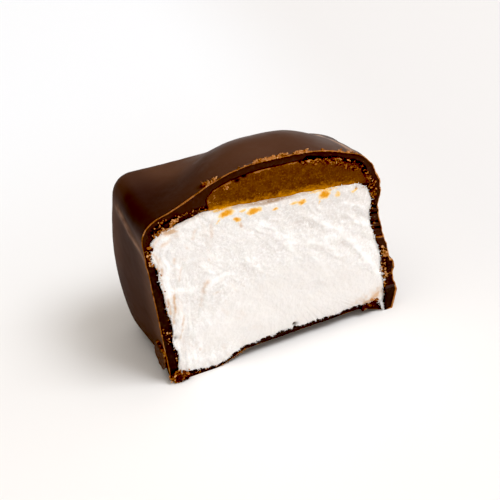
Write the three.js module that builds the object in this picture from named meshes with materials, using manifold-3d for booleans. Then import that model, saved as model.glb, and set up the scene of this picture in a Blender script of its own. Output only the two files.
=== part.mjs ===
// Half of a chocolate-dipped marshmallow sweet: a block of soft marshmallow with a pebble of caramel lying on it, inside
// a thin coat of dark chocolate, cut through the middle so that all three show.
//
// Millimetres. The shapes are worked out with X across the cut face from its middle, +Y from the cut plane into the
// sweet and +Z up from the surface that it stands on. The finished group is then moved sideways, so that its origin is
// under the middle of its bounding box.
import * as THREE from "three";
import { mergeVertices } from "three/addons/utils/BufferGeometryUtils.js";
import Module from "manifold-3d";

const wasm = await Module();
wasm.setup();

const { clamp, lerp, smoothstep } = THREE.MathUtils;

// ---- Driving dimensions --------------------------------------------------------------------------------------------

// The walls of the dipped body.
const halfWidth = 13.4; // from the middle of the cut to the left wall
const wallDepth = 12.2; // from the cut plane to the back wall
const leftBulge = { width: 1.5, depth: 10.5 }; // the left wall swells out towards the back
const backBulge = 0.6;
const bulgeRange = [-3, 20.4]; // heights between which the walls swell
const backCornerRadius = { left: 2.5, right: 4.5 }; // upright edges at the back
const topEdgeRadius = { cut: 2.3, behind: 1.9 };
const footEdgeRadius = { cut: 0.6, behind: 1.2, left: 3 };

// The right wall is pinched in above its middle, leans out below and has split near its foot.
const pinchedWidth = 12.95;
const shoulder = { width: 0.5, height: 16.7, reach: 1.9 };
const flare = { width: 0.85, heights: [6.5, 13.5] };
const split = { width: 0.42, height: 6.6, depth: 2.6 };
const rightBack = { width: 12.5, bulge: 0.8 };

// A flake of broken chocolate stands out of the foot of the left wall.
const flake = { width: 0.4, height: 2.4, depths: [1.4, 5.6] };

// The top is nearly flat, falls towards its right back corner and swells over the caramel.
const tableHeight = 19.95; // over the middle of the cut
const tableRise = 0.3; // towards the back
const tableFall = 0.085; // to the right, for each millimetre
const cornerFall = 0.026; // further, for each millimetre, at the back
const hump = { height: 4.5, middle: 2.2, reachAtCut: 10.9, reachBehind: 7.5, depth: 9.15 };

// The foot of the cut is lifted off the surface in a low arch.
const arch = { height: 1.25, left: [-8.2, -3.9], right: [9, 13], depth: 7.5 };

// The coat of chocolate, up to the marshmallow.
const coatSide = 1.05;
const coatTop = 0.95;
const coatFoot = { ends: 0.85, middle: 0.5 };

// The marshmallow's top is a low roof with its ridge to the left of the caramel.
const ridge = { height: 20.5, x: -6, fall: 0.16, softness: 1 };
const marshmallowEdgeRadius = 0.8;

const caramel = { middle: 3.5, halfWidth: 9.35, depth: 8.8, shoulderRadius: 0.9, footRadius: 0.3 };

const fillingGap = 0.1; // clearance between neighbouring solids
const knifeReach = 3; // how far a body that hollows the coat runs out in front of the cut plane

// How far the cut faces stand out of the cut plane and how uneven they are.
const coatRelief = 0.3;
const marshmallowPillow = 0.35;
const marshmallowRelief = 0.18;
const caramelPillow = 0.2;
const caramelRelief = 0.1;

// Facets across a cut face and from the cut to the back.
const coatFacets = { across: 30, deep: 11 };
const marshmallowFacets = { across: 20, deep: 8 };
const caramelFacets = { across: 12, deep: 5 };

const chocolateFinish = { color: 0x3a1d12, roughness: 0.35, metalness: 0 };
const marshmallowFinish = { color: 0xf7f0ea, roughness: 0.9, metalness: 0 };
const caramelFinish = { color: 0x7d430d, roughness: 0.5, metalness: 0 };

// ---- Curves --------------------------------------------------------------------------------------------------------

// From 0 at the first edge to 1 at the second, smoothly.
const ramp = (value, [from, to]) => smoothstep(value, from, to);

// 1 at 0 and falling off towards 1. A larger power gives it a flatter crown and steeper sides.
const bell = (distance, power) => Math.exp(-(Math.abs(distance) ** power));

// The inside of both shapes whose distances are given, with their common edge rounded to a radius.
function roundedMax(a, b, radius) {
  const corner = Math.hypot(Math.max(a + radius, 0), Math.max(b + radius, 0));
  return Math.min(Math.max(a, b) + radius, 0) + corner - radius;
}

// Smooth unevenness between -1 and 1 over a plane, the same on every run.
function unevenness(u, v) {
  const corner = (i, j) => {
    const wave = Math.sin(i * 127.1 + j * 311.7) * 43758.5453;
    return 2 * (wave - Math.floor(wave)) - 1;
  };
  const i = Math.floor(u);
  const j = Math.floor(v);
  const s = smoothstep(u - i, 0, 1);
  const t = smoothstep(v - j, 0, 1);
  return lerp(lerp(corner(i, j), corner(i + 1, j), s), lerp(corner(i, j + 1), corner(i + 1, j + 1), s), t);
}

// ---- Surfaces of the sweet -----------------------------------------------------------------------------------------

function archAt(x, y) {
  const across = ramp(x, arch.left) * (1 - ramp(x, arch.right));
  return arch.height * across * (1 - ramp(y, [0, arch.depth]));
}

function topAt(x, y) {
  const behind = ramp(y, [0, 8]);
  const corner = cornerFall * Math.max(x + 6, 0) * ramp(y, [4, 12]);
  const table = tableHeight + tableRise * behind - tableFall * x - corner;
  const reach = lerp(hump.reachAtCut, hump.reachBehind, behind);
  return table + hump.height * bell((x - hump.middle) / reach, 3) * bell(y / hump.depth, 5);
}

// How much of its bulge a wall has at a height.
function swellAt(z) {
  const share = (z - bulgeRange[0]) / (bulgeRange[1] - bulgeRange[0]);
  return Math.sin(Math.PI * clamp(share, 0, 1));
}

const leftWall = (y, z) => halfWidth + leftBulge.width * swellAt(z) * ramp(y, [0, leftBulge.depth]);

function rightWall(y, z) {
  const shoulderWidth = shoulder.width * bell((z - shoulder.height) / shoulder.reach, 4);
  const flareWidth = flare.width * (1 - ramp(z, flare.heights));
  const atCut = pinchedWidth + shoulderWidth + flareWidth;
  return lerp(atCut, rightBack.width + rightBack.bulge * swellAt(z), ramp(y, [1, 8]));
}

const backWall = (z) => wallDepth + backBulge * swellAt(z);

// Distance to the four walls of the body: below zero inside them. Chipped sides stand out by a further width.
function walls({ x, y, z }, chipped = 0) {
  const side = x < 0 ? leftWall(y, z) : rightWall(y, z);
  const radius = x < 0 ? backCornerRadius.left : backCornerRadius.right;
  return roundedMax(Math.abs(x) - side - chipped, y - backWall(z), radius);
}

// How far the broken chocolate at the foot of the side walls stands out of them.
function chippedAt({ x, y, z }) {
  if (x > 0) return z < split.height && y < split.depth ? split.width : 0;
  return z < flake.height && y > flake.depths[0] && y < flake.depths[1] ? flake.width : 0;
}

function footEdgeAt(x, y) {
  const behind = lerp(footEdgeRadius.behind, footEdgeRadius.left, ramp(-x, [4, 11]));
  return lerp(footEdgeRadius.cut, behind, ramp(y, [0.5, 3]));
}

// Distance to the outside of the coat: below zero inside the sweet.
function outside(point) {
  const { x, y, z } = point;
  const topEdge = lerp(topEdgeRadius.cut, topEdgeRadius.behind, ramp(y, [1, 6]));
  const topped = roundedMax(walls(point, chippedAt(point)), z - topAt(x, y), topEdge);
  return roundedMax(topped, archAt(x, y) - z, footEdgeAt(x, y));
}

const roofAt = (x) => ridge.height - ridge.fall * Math.hypot(x - ridge.x, ridge.softness);

function marshmallowBody(point) {
  const { x, y, z } = point;
  const top = Math.min(roofAt(x), topAt(x, y) - coatTop);
  const topped = roundedMax(walls(point) + coatSide, z - top, marshmallowEdgeRadius);
  const foot = archAt(x, y) + lerp(coatFoot.ends, coatFoot.middle, archAt(x, 0) / arch.height);
  return roundedMax(topped, foot - z, footEdgeAt(x, y));
}

function caramelBody(point) {
  const { x, y, z } = point;
  const plan = (Math.hypot((x - caramel.middle) / caramel.halfWidth, y / caramel.depth) - 1) * caramel.depth;
  const capped = roundedMax(outside(point) + coatTop, plan, caramel.shoulderRadius);
  return roundedMax(capped, roofAt(x) + fillingGap - z, caramel.footRadius);
}

// ---- From surfaces to solids ---------------------------------------------------------------------------------------

// A closed body behind the cut plane, blown up from half a box. Each point of the box moves along its ray from the
// middle of the cut face to where the distance reaches the clearance. The points of the front face lie in the cut,
// moved to and fro by the relief. A body that hollows another runs out in front of the cut plane by its reach.
function bodyGeometry({ distance, middle, reach, facets, relief, clearance = 0, frontReach = 0 }) {
  const rows = facets.deep + (frontReach > 0 ? 1 : 0);
  const box = new THREE.BoxGeometry(2, rows, 2, facets.across, rows, facets.across);
  box.translate(0, facets.deep - rows / 2, 0);
  box.deleteAttribute("normal");
  box.deleteAttribute("uv");
  const geometry = mergeVertices(box);
  const front = facets.deep - rows;

  const surfacePoint = (across, deep, up) => {
    const ray = new THREE.Vector3(across * reach.x, deep * reach.y, up * reach.z);
    let near = 0;
    let far = 2.5;
    for (let i = 0; i < 40; i++) {
      const half = (near + far) / 2;
      const inside = distance(middle.clone().addScaledVector(ray, half)) < clearance;
      if (inside) near = half;
      else far = half;
    }
    return middle.clone().addScaledVector(ray, near);
  };
  // Closer together towards the edges, where the body is rounded.
  const spread = (share) => lerp(share, Math.sin((Math.PI / 2) * share), 0.5);

  const points = geometry.attributes.position;
  for (let i = 0; i < points.count; i++) {
    const across = spread(points.getX(i));
    const up = spread(points.getZ(i));
    const row = points.getY(i);
    if (Math.abs(row - front) < 1e-3) {
      const ring = Math.max(Math.abs(across), Math.abs(up));
      const rim = ring > 0 ? surfacePoint(across / ring, 0, up / ring) : middle;
      const point = middle.clone().lerp(rim, ring);
      points.setXYZ(i, point.x, relief(point.x, point.z, ring) - frontReach, point.z);
    } else {
      points.setXYZ(i, ...surfacePoint(across, spread(row / facets.deep), up));
    }
  }
  return geometry;
}

function solidFrom(geometry) {
  return new wasm.Manifold(
    new wasm.Mesh({
      numProp: 3,
      vertProperties: geometry.attributes.position.array,
      triVerts: new Uint32Array(geometry.index.array),
    }),
  );
}

function geometryFrom(solid) {
  const { vertProperties, triVerts } = solid.getMesh();
  const geometry = new THREE.BufferGeometry();
  geometry.setAttribute("position", new THREE.BufferAttribute(vertProperties, 3));
  geometry.setIndex(new THREE.BufferAttribute(triVerts, 1));
  return geometry;
}

// ---- The three foods -----------------------------------------------------------------------------------------------

const coatShape = {
  distance: outside,
  middle: new THREE.Vector3(0, 0, 10.4),
  reach: new THREE.Vector3(13.4, 12.4, 11),
  facets: coatFacets,
};

const marshmallowShape = {
  distance: marshmallowBody,
  middle: new THREE.Vector3(0, 0, 10.4),
  reach: new THREE.Vector3(12.3, 11.3, 9),
  facets: marshmallowFacets,
};

const caramelShape = {
  distance: caramelBody,
  middle: new THREE.Vector3(caramel.middle, 0, roofAt(caramel.middle) + 1.9),
  reach: new THREE.Vector3(9, 8.4, 1.9),
  facets: caramelFacets,
};

function marshmallowGeometry() {
  const relief = (x, z, ring) => {
    const torn = unevenness(x / 3.4, z / 2.6) + 0.5 * unevenness(x / 1.7, z / 1.5);
    return marshmallowRelief * torn * (1 - 0.6 * ring) - marshmallowPillow * (1 - ring ** 4);
  };
  return bodyGeometry({ ...marshmallowShape, relief });
}

function caramelGeometry() {
  const relief = (x, z, ring) => caramelRelief * unevenness(x / 1.8, z / 1.1) - caramelPillow * (1 - ring ** 4);
  return bodyGeometry({ ...caramelShape, relief });
}

// The coat fills everything between the outside of the sweet and its fillings.
function coatGeometry() {
  const relief = (x, z) => coatRelief * (0.7 * unevenness(x / 1.9, z / 1.7) + 0.4 * unevenness(x, z / 0.9));
  const hollow = { relief: () => 0, clearance: fillingGap, frontReach: knifeReach };
  return geometryFrom(
    solidFrom(bodyGeometry({ ...coatShape, relief }))
      .subtract(solidFrom(bodyGeometry({ ...marshmallowShape, ...hollow })))
      .subtract(solidFrom(bodyGeometry({ ...caramelShape, ...hollow }))),
  );
}

// ---- The sweet -----------------------------------------------------------------------------------------------------

function food(name, geometry, finish) {
  const mesh = new THREE.Mesh(geometry, new THREE.MeshStandardMaterial(finish));
  mesh.name = name;
  return mesh;
}

const sweet = new THREE.Group();
sweet.add(
  food("chocolate_coat", coatGeometry(), chocolateFinish),
  food("marshmallow", marshmallowGeometry(), marshmallowFinish),
  food("caramel", caramelGeometry(), caramelFinish),
);
const middle = new THREE.Box3().setFromObject(sweet).getCenter(new THREE.Vector3());
sweet.position.set(-middle.x, -middle.y, 0);

export default sweet;
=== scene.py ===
"""Dresses half of a chocolate-coated marshmallow sweet in its looks.

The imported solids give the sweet's place and size. Each food is made again from the same surfaces as
a fine mesh that carries the grain of its cut, and the burr, flakes, crumbs and smears that a knife
leaves are laid over them.

Lengths are millimetres inside the classes and become metres where a mesh is made. Shapes are worked
out with X across the cut from its middle, +Y from the cut plane into the sweet and +Z up, and are
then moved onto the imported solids.
"""

from __future__ import annotations

import itertools
import logging
import math
from dataclasses import dataclass, field
from enum import Enum
from typing import Callable, Iterable, Sequence, Union

import bmesh
import bpy
import numpy as np
from mathutils import Matrix, Vector


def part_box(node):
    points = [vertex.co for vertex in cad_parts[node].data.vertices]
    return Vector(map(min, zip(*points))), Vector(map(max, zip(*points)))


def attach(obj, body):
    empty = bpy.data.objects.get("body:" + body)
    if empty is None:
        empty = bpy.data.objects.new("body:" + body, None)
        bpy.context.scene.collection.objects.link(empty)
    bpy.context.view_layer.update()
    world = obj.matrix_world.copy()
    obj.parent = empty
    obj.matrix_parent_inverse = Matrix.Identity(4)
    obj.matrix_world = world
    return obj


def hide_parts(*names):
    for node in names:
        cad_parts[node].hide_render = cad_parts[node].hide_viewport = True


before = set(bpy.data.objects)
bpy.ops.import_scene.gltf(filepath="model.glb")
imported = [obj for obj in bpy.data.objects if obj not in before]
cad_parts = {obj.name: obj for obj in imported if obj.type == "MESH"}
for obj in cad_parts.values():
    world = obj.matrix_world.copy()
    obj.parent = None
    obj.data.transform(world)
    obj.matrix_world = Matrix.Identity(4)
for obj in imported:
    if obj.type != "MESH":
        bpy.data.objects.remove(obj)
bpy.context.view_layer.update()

LOG = logging.getLogger("sweet")
MM = 0.001
TURN = 2 * math.pi
BODY = "root"

Array = np.ndarray
Pair = tuple[float, float]
Colour = tuple[float, float, float]
Piece = bpy.types.Object
Material = bpy.types.Material
Socket = bpy.types.NodeSocket
Value = Union[Socket, float, Colour]


class Slot(Enum):
    """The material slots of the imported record."""

    CHOCOLATE = "dark_chocolate"
    MARSHMALLOW = "marshmallow_foam"
    CARAMEL = "caramel_filling"


# ---- Curves and noise ----


def ramp(value: Array, start: float, end: float) -> Array:
    """Rises smoothly from 0 at the start to 1 at the end."""
    share = np.clip((value - start) / (end - start), 0, 1)
    return share * share * (3 - 2 * share)


def bell(distance: Array, power: float = 2) -> Array:
    """Is 1 at 0 and has fallen off at 1. A larger power gives a flatter crown and steeper sides."""
    return np.exp(-(np.abs(distance) ** power))


def blend(start: Array, end: Array, share: Array) -> Array:
    """Goes from the start to the end as the share goes from 0 to 1."""
    return start + (end - start) * share


def rounded_max(first: Array, second: Array, radius: Array) -> Array:
    """Gives the inside of both shapes whose distances are given.

    Args:
        first: Distance to the first shape, below zero inside it.
        second: Distance to the second shape.
        radius: Radius of the rounding along their common edge.

    Returns:
        Distance to the common inside.
    """
    corner = np.hypot(np.maximum(first + radius, 0), np.maximum(second + radius, 0))
    return np.minimum(np.maximum(first, second) + radius, 0) + corner - radius


def lattice_draw(seed: int, cells: Array) -> Array:
    """Draws a number from 0 to 1 for each cell of a lattice.

    Args:
        seed: Picks one of many independent draws.
        cells: Whole-number cell coordinates, one row for each cell.

    Returns:
        One number for each cell, the same on every run.
    """
    mask = np.uint64(0xFFFFFFFF)
    mixed = np.full(len(cells), (seed * 2654435761 + 97) % 2**32, dtype=np.uint64)
    for axis, prime in zip(range(cells.shape[1]), (73856093, 19349663, 83492791)):
        cell = cells[:, axis].astype(np.int64).astype(np.uint64) & mask
        mixed = (mixed ^ (cell * np.uint64(prime) & mask)) * np.uint64(2246822519) & mask
        mixed ^= mixed >> np.uint64(15)
    mixed = mixed * np.uint64(3266489917) & mask
    return (mixed ^ (mixed >> np.uint64(16))).astype(float) / 2**32


def noise(points: Array, seed: int) -> Array:
    """Gives smooth noise between -1 and 1 whose features are about one unit across.

    Args:
        points: One row for each point, in two or three dimensions.
        seed: Picks one of many independent noises.

    Returns:
        One number for each point.
    """
    cell = np.floor(points)
    share = points - cell
    fade = share**3 * (share * (6 * share - 15) + 10)
    total = np.zeros(len(points))
    for corner in itertools.product((0, 1), repeat=points.shape[1]):
        weight = np.prod(np.where(np.array(corner) == 1, fade, 1 - fade), axis=1)
        total += weight * lattice_draw(seed, cell + np.array(corner))
    return 2 * total - 1


def fractal(points: Array, seed: int, octaves: int = 3) -> Array:
    """Adds up noises of ever smaller features and heights, between about -1 and 1."""
    layers = [0.5**i * noise(points * 2.03**i + 7.3 * i, seed + i) for i in range(octaves)]
    return np.sum(layers, axis=0) / (2 - 0.5 ** (octaves - 1))


def pebbles(points: Array, seed: int) -> Array:
    """Gives the closeness to the nearest of many scattered stones, which is 1 at a stone's middle.

    Args:
        points: One row for each point in a plane, in units of a stone's size.
        seed: Picks one of many scatterings.

    Returns:
        One number for each point.
    """
    cell = np.floor(points)
    nearest = np.full(len(points), 9.0)
    for offset in itertools.product((-1, 0, 1), repeat=2):
        neighbour = cell + np.array(offset)
        shift = np.stack([lattice_draw(seed + axis, neighbour) for axis in (0, 1)], axis=1)
        nearest = np.minimum(nearest, np.hypot(*(points - neighbour - shift).T))
    return np.clip(1 - nearest, 0, 1)


def plane(x: Array, z: Array, across: float, up: float, lean: float = 0.0) -> Array:
    """Places points of the cut face in a stretched and turned noise.

    Args:
        x: Places across the cut.
        z: Heights.
        across: Size of the noise's features across their grain.
        up: Size along their grain.
        lean: Angle of the grain from upright, in degrees, to the left where it is above zero.

    Returns:
        One row of two coordinates for each point.
    """
    angle = math.radians(lean)
    crosswise = x * math.cos(angle) + z * math.sin(angle)
    lengthwise = z * math.cos(angle) - x * math.sin(angle)
    return np.stack([crosswise / across, lengthwise / up], axis=1)


# ---- The sweet's surfaces ----


@dataclass(frozen=True)
class SweetForm:
    """The surfaces of the sweet as distances, below zero inside, at the sizes of the solids."""

    half_width: float = 13.4
    wall_depth: float = 12.2
    left_bulge: Pair = (1.5, 10.5)
    back_bulge: float = 0.6
    bulge_range: Pair = (-3, 20.4)
    back_corner_radius: Pair = (2.5, 4.5)
    top_edge_radius: Pair = (2.3, 1.9)
    foot_edge_radius: tuple[float, float, float] = (0.6, 1.2, 3)
    pinched_width: float = 12.95
    shoulder: tuple[float, float, float] = (0.5, 16.7, 1.9)
    flare_width: float = 0.85
    flare_heights: Pair = (6.5, 13.5)
    split_width: float = 0.42
    split_top: Pair = (6.5, 6.7)
    split_back: Pair = (2.2, 3.0)
    right_back: Pair = (12.5, 0.8)
    table_height: float = 19.95
    table_rise: float = 0.3
    table_fall: float = 0.085
    top_range: Pair = (0, 8)
    corner_fall: float = 0.026
    corner_from: float = -6.0
    corner_range: Pair = (4, 12)
    hump_height: float = 4.5
    hump_middle: float = 2.2
    hump_reach: Pair = (10.9, 7.5)
    hump_depth: float = 9.15
    arch_height: float = 1.25
    arch_left: Pair = (-8.2, -3.9)
    arch_right: Pair = (9, 13)
    arch_depth: float = 7.5
    coat_side: float = 1.05
    coat_top: float = 0.95
    coat_foot: Pair = (0.85, 0.5)
    ridge: tuple[float, float, float, float] = (20.5, -6, 0.16, 1)
    marshmallow_edge: float = 0.8
    caramel_middle: float = 3.5
    caramel_half_width: float = 9.35
    caramel_depth: float = 8.8
    caramel_edges: Pair = (0.9, 0.3)
    filling_gap: float = 0.1

    def arch_at(self, x: Array, y: Array) -> Array:
        """Gives the height of the low arch under the foot of the cut."""
        across = ramp(x, *self.arch_left) * (1 - ramp(x, *self.arch_right))
        return self.arch_height * across * (1 - ramp(y, 0, self.arch_depth))

    def hump_at(self, x: Array, y: Array) -> Array:
        """Gives how much of its height the hump over the caramel has."""
        reach = blend(*self.hump_reach, ramp(y, *self.top_range))
        return bell((x - self.hump_middle) / reach, 3) * bell(y / self.hump_depth, 5)

    def top_at(self, x: Array, y: Array) -> Array:
        """Gives the height of the top: a falling table with the hump over the caramel."""
        rise = self.table_rise * ramp(y, *self.top_range)
        corner = self.corner_fall * np.maximum(x - self.corner_from, 0) * ramp(y, *self.corner_range)
        table = self.table_height + rise - self.table_fall * x - corner
        return table + self.hump_height * self.hump_at(x, y)

    def swell_at(self, z: Array) -> Array:
        """Gives how much of its bulge a wall has at a height."""
        low, high = self.bulge_range
        return np.sin(math.pi * np.clip((z - low) / (high - low), 0, 1))

    def walls(self, points: Array, chipped: Array | float = 0.0) -> Array:
        """Gives the distance to the four walls.

        Args:
            points: One row for each point.
            chipped: How far the side walls stand out further.

        Returns:
            One distance for each point.
        """
        x, y, z = points.T
        swell = self.swell_at(z)
        left = self.half_width + self.left_bulge[0] * swell * ramp(y, 0, self.left_bulge[1])
        step = self.shoulder[0] * bell((z - self.shoulder[1]) / self.shoulder[2], 4)
        at_cut = self.pinched_width + step + self.flare_width * (1 - ramp(z, *self.flare_heights))
        right = blend(at_cut, self.right_back[0] + self.right_back[1] * swell, ramp(y, 1, 8))
        side = np.where(x < 0, left, right)
        radius = np.where(x < 0, *self.back_corner_radius)
        behind = y - self.wall_depth - self.back_bulge * swell
        return rounded_max(np.abs(x) - side - chipped, behind, radius)

    def foot_edge_at(self, x: Array, y: Array) -> Array:
        """Gives the radius of the foot's edge, small at the cut and large at the left."""
        behind = blend(self.foot_edge_radius[1], self.foot_edge_radius[2], ramp(-x, 4, 11))
        return blend(self.foot_edge_radius[0], behind, ramp(y, 0.5, 3))

    def outside(self, points: Array) -> Array:
        """Gives the distance to the outside of the coat."""
        x, y, z = points.T
        split = (x > 0) * (1 - ramp(z, *self.split_top)) * (1 - ramp(y, *self.split_back))
        chipped = self.split_width * split
        edge = blend(self.top_edge_radius[0], self.top_edge_radius[1], ramp(y, 1, 6))
        topped = rounded_max(self.walls(points, chipped), z - self.top_at(x, y), edge)
        return rounded_max(topped, self.arch_at(x, y) - z, self.foot_edge_at(x, y))

    def roof_at(self, x: Array) -> Array:
        """Gives the height of the marshmallow's low roof."""
        height, middle, fall, softness = self.ridge
        return height - fall * np.hypot(x - middle, softness)

    def marshmallow(self, points: Array) -> Array:
        """Gives the distance to the marshmallow."""
        x, y, z = points.T
        top = np.minimum(self.roof_at(x), self.top_at(x, y) - self.coat_top)
        topped = rounded_max(self.walls(points) + self.coat_side, z - top, self.marshmallow_edge)
        foot = self.arch_at(x, y) + blend(*self.coat_foot, self.arch_at(x, 0 * y) / self.arch_height)
        return rounded_max(topped, foot - z, self.foot_edge_at(x, y))

    def caramel(self, points: Array) -> Array:
        """Gives the distance to the caramel."""
        x, y, z = points.T
        across = (x - self.caramel_middle) / self.caramel_half_width
        plan = (np.hypot(across, y / self.caramel_depth) - 1) * self.caramel_depth
        capped = rounded_max(self.outside(points) + self.coat_top, plan, self.caramel_edges[0])
        return rounded_max(capped, self.roof_at(x) + self.filling_gap - z, self.caramel_edges[1])


@dataclass(frozen=True)
class Place:
    """Where the sweet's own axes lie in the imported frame."""

    shift: tuple[float, float, float]

    @classmethod
    def on_coat(cls, form: SweetForm) -> Place:
        """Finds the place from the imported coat, whose right foot and back wall the form gives too."""
        low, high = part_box("chocolate_coat")
        right = form.pinched_width + form.flare_width + form.split_width
        back = form.wall_depth + form.back_bulge
        return cls((high[0] / MM - right, high[1] / MM - back, low[2] / MM))

    def metres(self, points: Array) -> Array:
        """Moves points from the sweet's axes, in millimetres, to the frame, in metres."""
        return (np.asarray(points, dtype=float) + np.array(self.shift)) * MM


# ---- Meshes ----

FAR = 40.0
HALVINGS = 30
OUTLINE_RAYS = 4001


def reach_surface(
    distance: Callable[[Array], Array], origins: Array, directions: Array, clearance: float
) -> Array:
    """Follows rays from inside a body to its surface.

    Args:
        distance: The body's distance, below zero inside.
        origins: Where the rays start, one row each.
        directions: The rays' directions, one row each.
        clearance: Distance from the surface at which a ray stops.

    Returns:
        The points where the rays stop.
    """
    near = np.zeros(len(origins))
    far = np.full(len(origins), FAR)
    for _ in range(HALVINGS):
        half = (near + far) / 2
        inside = distance(origins + half[:, None] * directions) < clearance
        near, far = np.where(inside, half, near), np.where(inside, far, half)
    return origins + near[:, None] * directions


@dataclass(frozen=True)
class Row:
    """One ring of points round a body: where its rays start, how far they turn back, how many."""

    depth: float
    turn: float
    count: int


@dataclass
class Rings:
    """Rings of points round a level axis, from which closed bodies are made.

    All rings start at the same angle, so that a ring can be followed by one with the same count,
    half of it or twice it. The rays of the fullest ring part the outline of the cut into even steps.
    """

    distance: Callable[[Array], Array]
    middle: Pair
    fullest: int
    clearance: float = 0.0
    angles: Array = field(init=False)

    def __post_init__(self) -> None:
        """Spreads the rays evenly along the outline of the cut."""
        self.angles = np.linspace(0, TURN, OUTLINE_RAYS)
        outline = self.row(Row(0, 0, OUTLINE_RAYS))
        steps = np.hypot(np.diff(outline[:, 0]), np.diff(outline[:, 2]))
        travelled = np.concatenate([[0], np.cumsum(steps)])
        even = np.linspace(0, travelled[-1], self.fullest, endpoint=False)
        self.angles = np.interp(even, travelled, self.angles)

    def row(self, row: Row) -> Array:
        """Gives the points of one ring on the body's surface."""
        angles = self.angles[:: len(self.angles) // row.count]
        flat, back = math.cos(row.turn), math.sin(row.turn)
        directions = np.stack([np.cos(angles) * flat, 0 * angles + back, np.sin(angles) * flat], axis=1)
        origins = np.tile([self.middle[0], row.depth, self.middle[1]], (len(angles), 1))
        return reach_surface(self.distance, origins, directions, self.clearance)

    def inward(self, rows: Sequence[Row]) -> list[Array]:
        """Gives the points of rings towards the back, none with less than half of the one before it."""
        rings, least = [], self.fullest // 2
        for row in rows:
            count = max(row.count, least)
            least = count // 2
            rings.append(self.row(Row(row.depth, row.turn, count)))
        return rings


class Skin:
    """Gathers rings into a closed mesh, from one pole to the other."""

    def __init__(self) -> None:
        """Starts with nothing."""
        self.points: list[Array] = []
        self.faces: list[Array] = []
        self.last = np.array([], dtype=int)
        self.total = 0

    def add(self, points: Array) -> None:
        """Adds a ring, or a pole as a ring of one point, and joins it to the ring before it."""
        ring = np.arange(len(points)) + self.total
        self.points.append(points)
        self.total += len(points)
        if len(self.last):
            self.faces.extend(self._between(self.last, ring))
        self.last = ring

    @staticmethod
    def _between(first: Array, second: Array) -> list[Array]:
        """Gives the faces between two rings: as full, half as full, twice as full, or a pole."""
        ahead, beyond = np.roll(first, -1), np.roll(second, -1)
        if len(first) == 1:
            return [np.stack([np.full(len(second), first[0]), second, beyond], axis=1)]
        if len(second) == 1:
            return [np.stack([first, np.full(len(first), second[0]), ahead], axis=1)]
        if len(first) == len(second):
            return [np.stack([first, second, beyond, ahead], axis=1)]
        if len(first) < len(second):
            start, middle, end = second[::2], second[1::2], np.roll(second[::2], -1)
            corners = ((first, start, middle), (first, middle, ahead), (ahead, middle, end))
        else:
            start, middle, end = first[::2], first[1::2], np.roll(first[::2], -1)
            corners = ((start, second, middle), (middle, second, beyond), (middle, beyond, end))
        return [np.stack(corner, axis=1) for corner in corners]


def thinned(count: int, share: float, least: int = 24) -> int:
    """Halves a ring's count until it suits a ring that is a share as long as the fullest."""
    while share < 0.5 and count > least:
        count, share = count // 2, share * 2
    return count


def make_piece(
    name: str, points: Array, faces: Iterable[Sequence[int]], place: Place, smooth: bool = True
) -> Piece:
    """Makes an object of a mesh.

    Args:
        name: The object's name.
        points: The vertices in the sweet's axes, in millimetres.
        faces: The faces' vertices.
        place: Where the sweet lies in the frame.
        smooth: Whether the faces are shaded smooth.

    Returns:
        The object, in the scene.
    """
    mesh = bpy.data.meshes.new(name)
    mesh.from_pydata(place.metres(points).tolist(), [], [list(face) for face in faces])
    mesh.polygons.foreach_set("use_smooth", [smooth] * len(mesh.polygons))
    mesh.update()
    piece = bpy.data.objects.new(name, mesh)
    bpy.context.scene.collection.objects.link(piece)
    return piece


def skin_piece(name: str, skin: Skin, place: Place) -> Piece:
    """Makes an object of a closed skin."""
    faces = [face for batch in skin.faces for face in batch.tolist()]
    return make_piece(name, np.concatenate(skin.points), faces, place)


def paint(piece: Piece, layers: dict[str, Array | float]) -> None:
    """Stores one number for each vertex under each layer's name."""
    for name, values in layers.items():
        layer = piece.data.attributes.new(name, "FLOAT", "POINT")
        spread = np.broadcast_to(np.clip(values, 0, 1), len(piece.data.vertices))
        layer.data.foreach_set("value", spread.astype(np.float32))


def dress(piece: Piece, finish: Material, slot: Slot, *nodes: str) -> Piece:
    """Gives a piece its material and its body, and hides the solids that it stands for."""
    piece.data.materials.append(finish)
    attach(piece, BODY)
    if nodes:
        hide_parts(*nodes)
    mesh = piece.data
    LOG.info("%s: %d vertices, %d faces", piece.name, len(mesh.vertices), len(mesh.polygons))
    return piece


# ---- Finishes ----


class Nodes:
    """Adds nodes to a tree and links them."""

    def __init__(self, tree: bpy.types.NodeTree) -> None:
        """Works on a tree."""
        self.tree = tree

    def feed(self, socket: Socket, value: Value) -> None:
        """Links a socket to another, or sets it to a number or a colour."""
        if isinstance(value, bpy.types.NodeSocket):
            self.tree.links.new(value, socket)
        elif isinstance(value, tuple) and socket.type == "RGBA":
            socket.default_value = (*value, 1)
        else:
            socket.default_value = value

    def part(self, vector: Socket, axis: str) -> Socket:
        """Gives one coordinate of a vector."""
        node = self.tree.nodes.new("ShaderNodeSeparateXYZ")
        self.feed(node.inputs["Vector"], vector)
        return node.outputs[axis]

    def between(
        self, value: Value, low: float, high: float, start: Value = 0.0, end: Value = 1.0
    ) -> Socket:
        """Maps a range of numbers smoothly onto another.

        Args:
            value: The number to map.
            low: The number that becomes the start.
            high: The number that becomes the end.
            start: What the low number becomes.
            end: What the high number becomes.

        Returns:
            The mapped number's socket.
        """
        node = self.tree.nodes.new("ShaderNodeMapRange")
        node.interpolation_type = "SMOOTHSTEP"
        for name, number in zip(("From Min", "From Max", "To Min", "To Max"), (low, high, start, end)):
            self.feed(node.inputs[name], number)
        self.feed(node.inputs["Value"], value)
        return node.outputs["Result"]

    def sum_up(self, operation: str, first: Value, second: Value, clamp: bool = True) -> Socket:
        """Does a sum with two numbers, held between 0 and 1 if they are clamped."""
        node = self.tree.nodes.new("ShaderNodeMath")
        node.operation = operation
        node.use_clamp = clamp
        self.feed(node.inputs[0], first)
        self.feed(node.inputs[1], second)
        return node.outputs["Value"]


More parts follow.
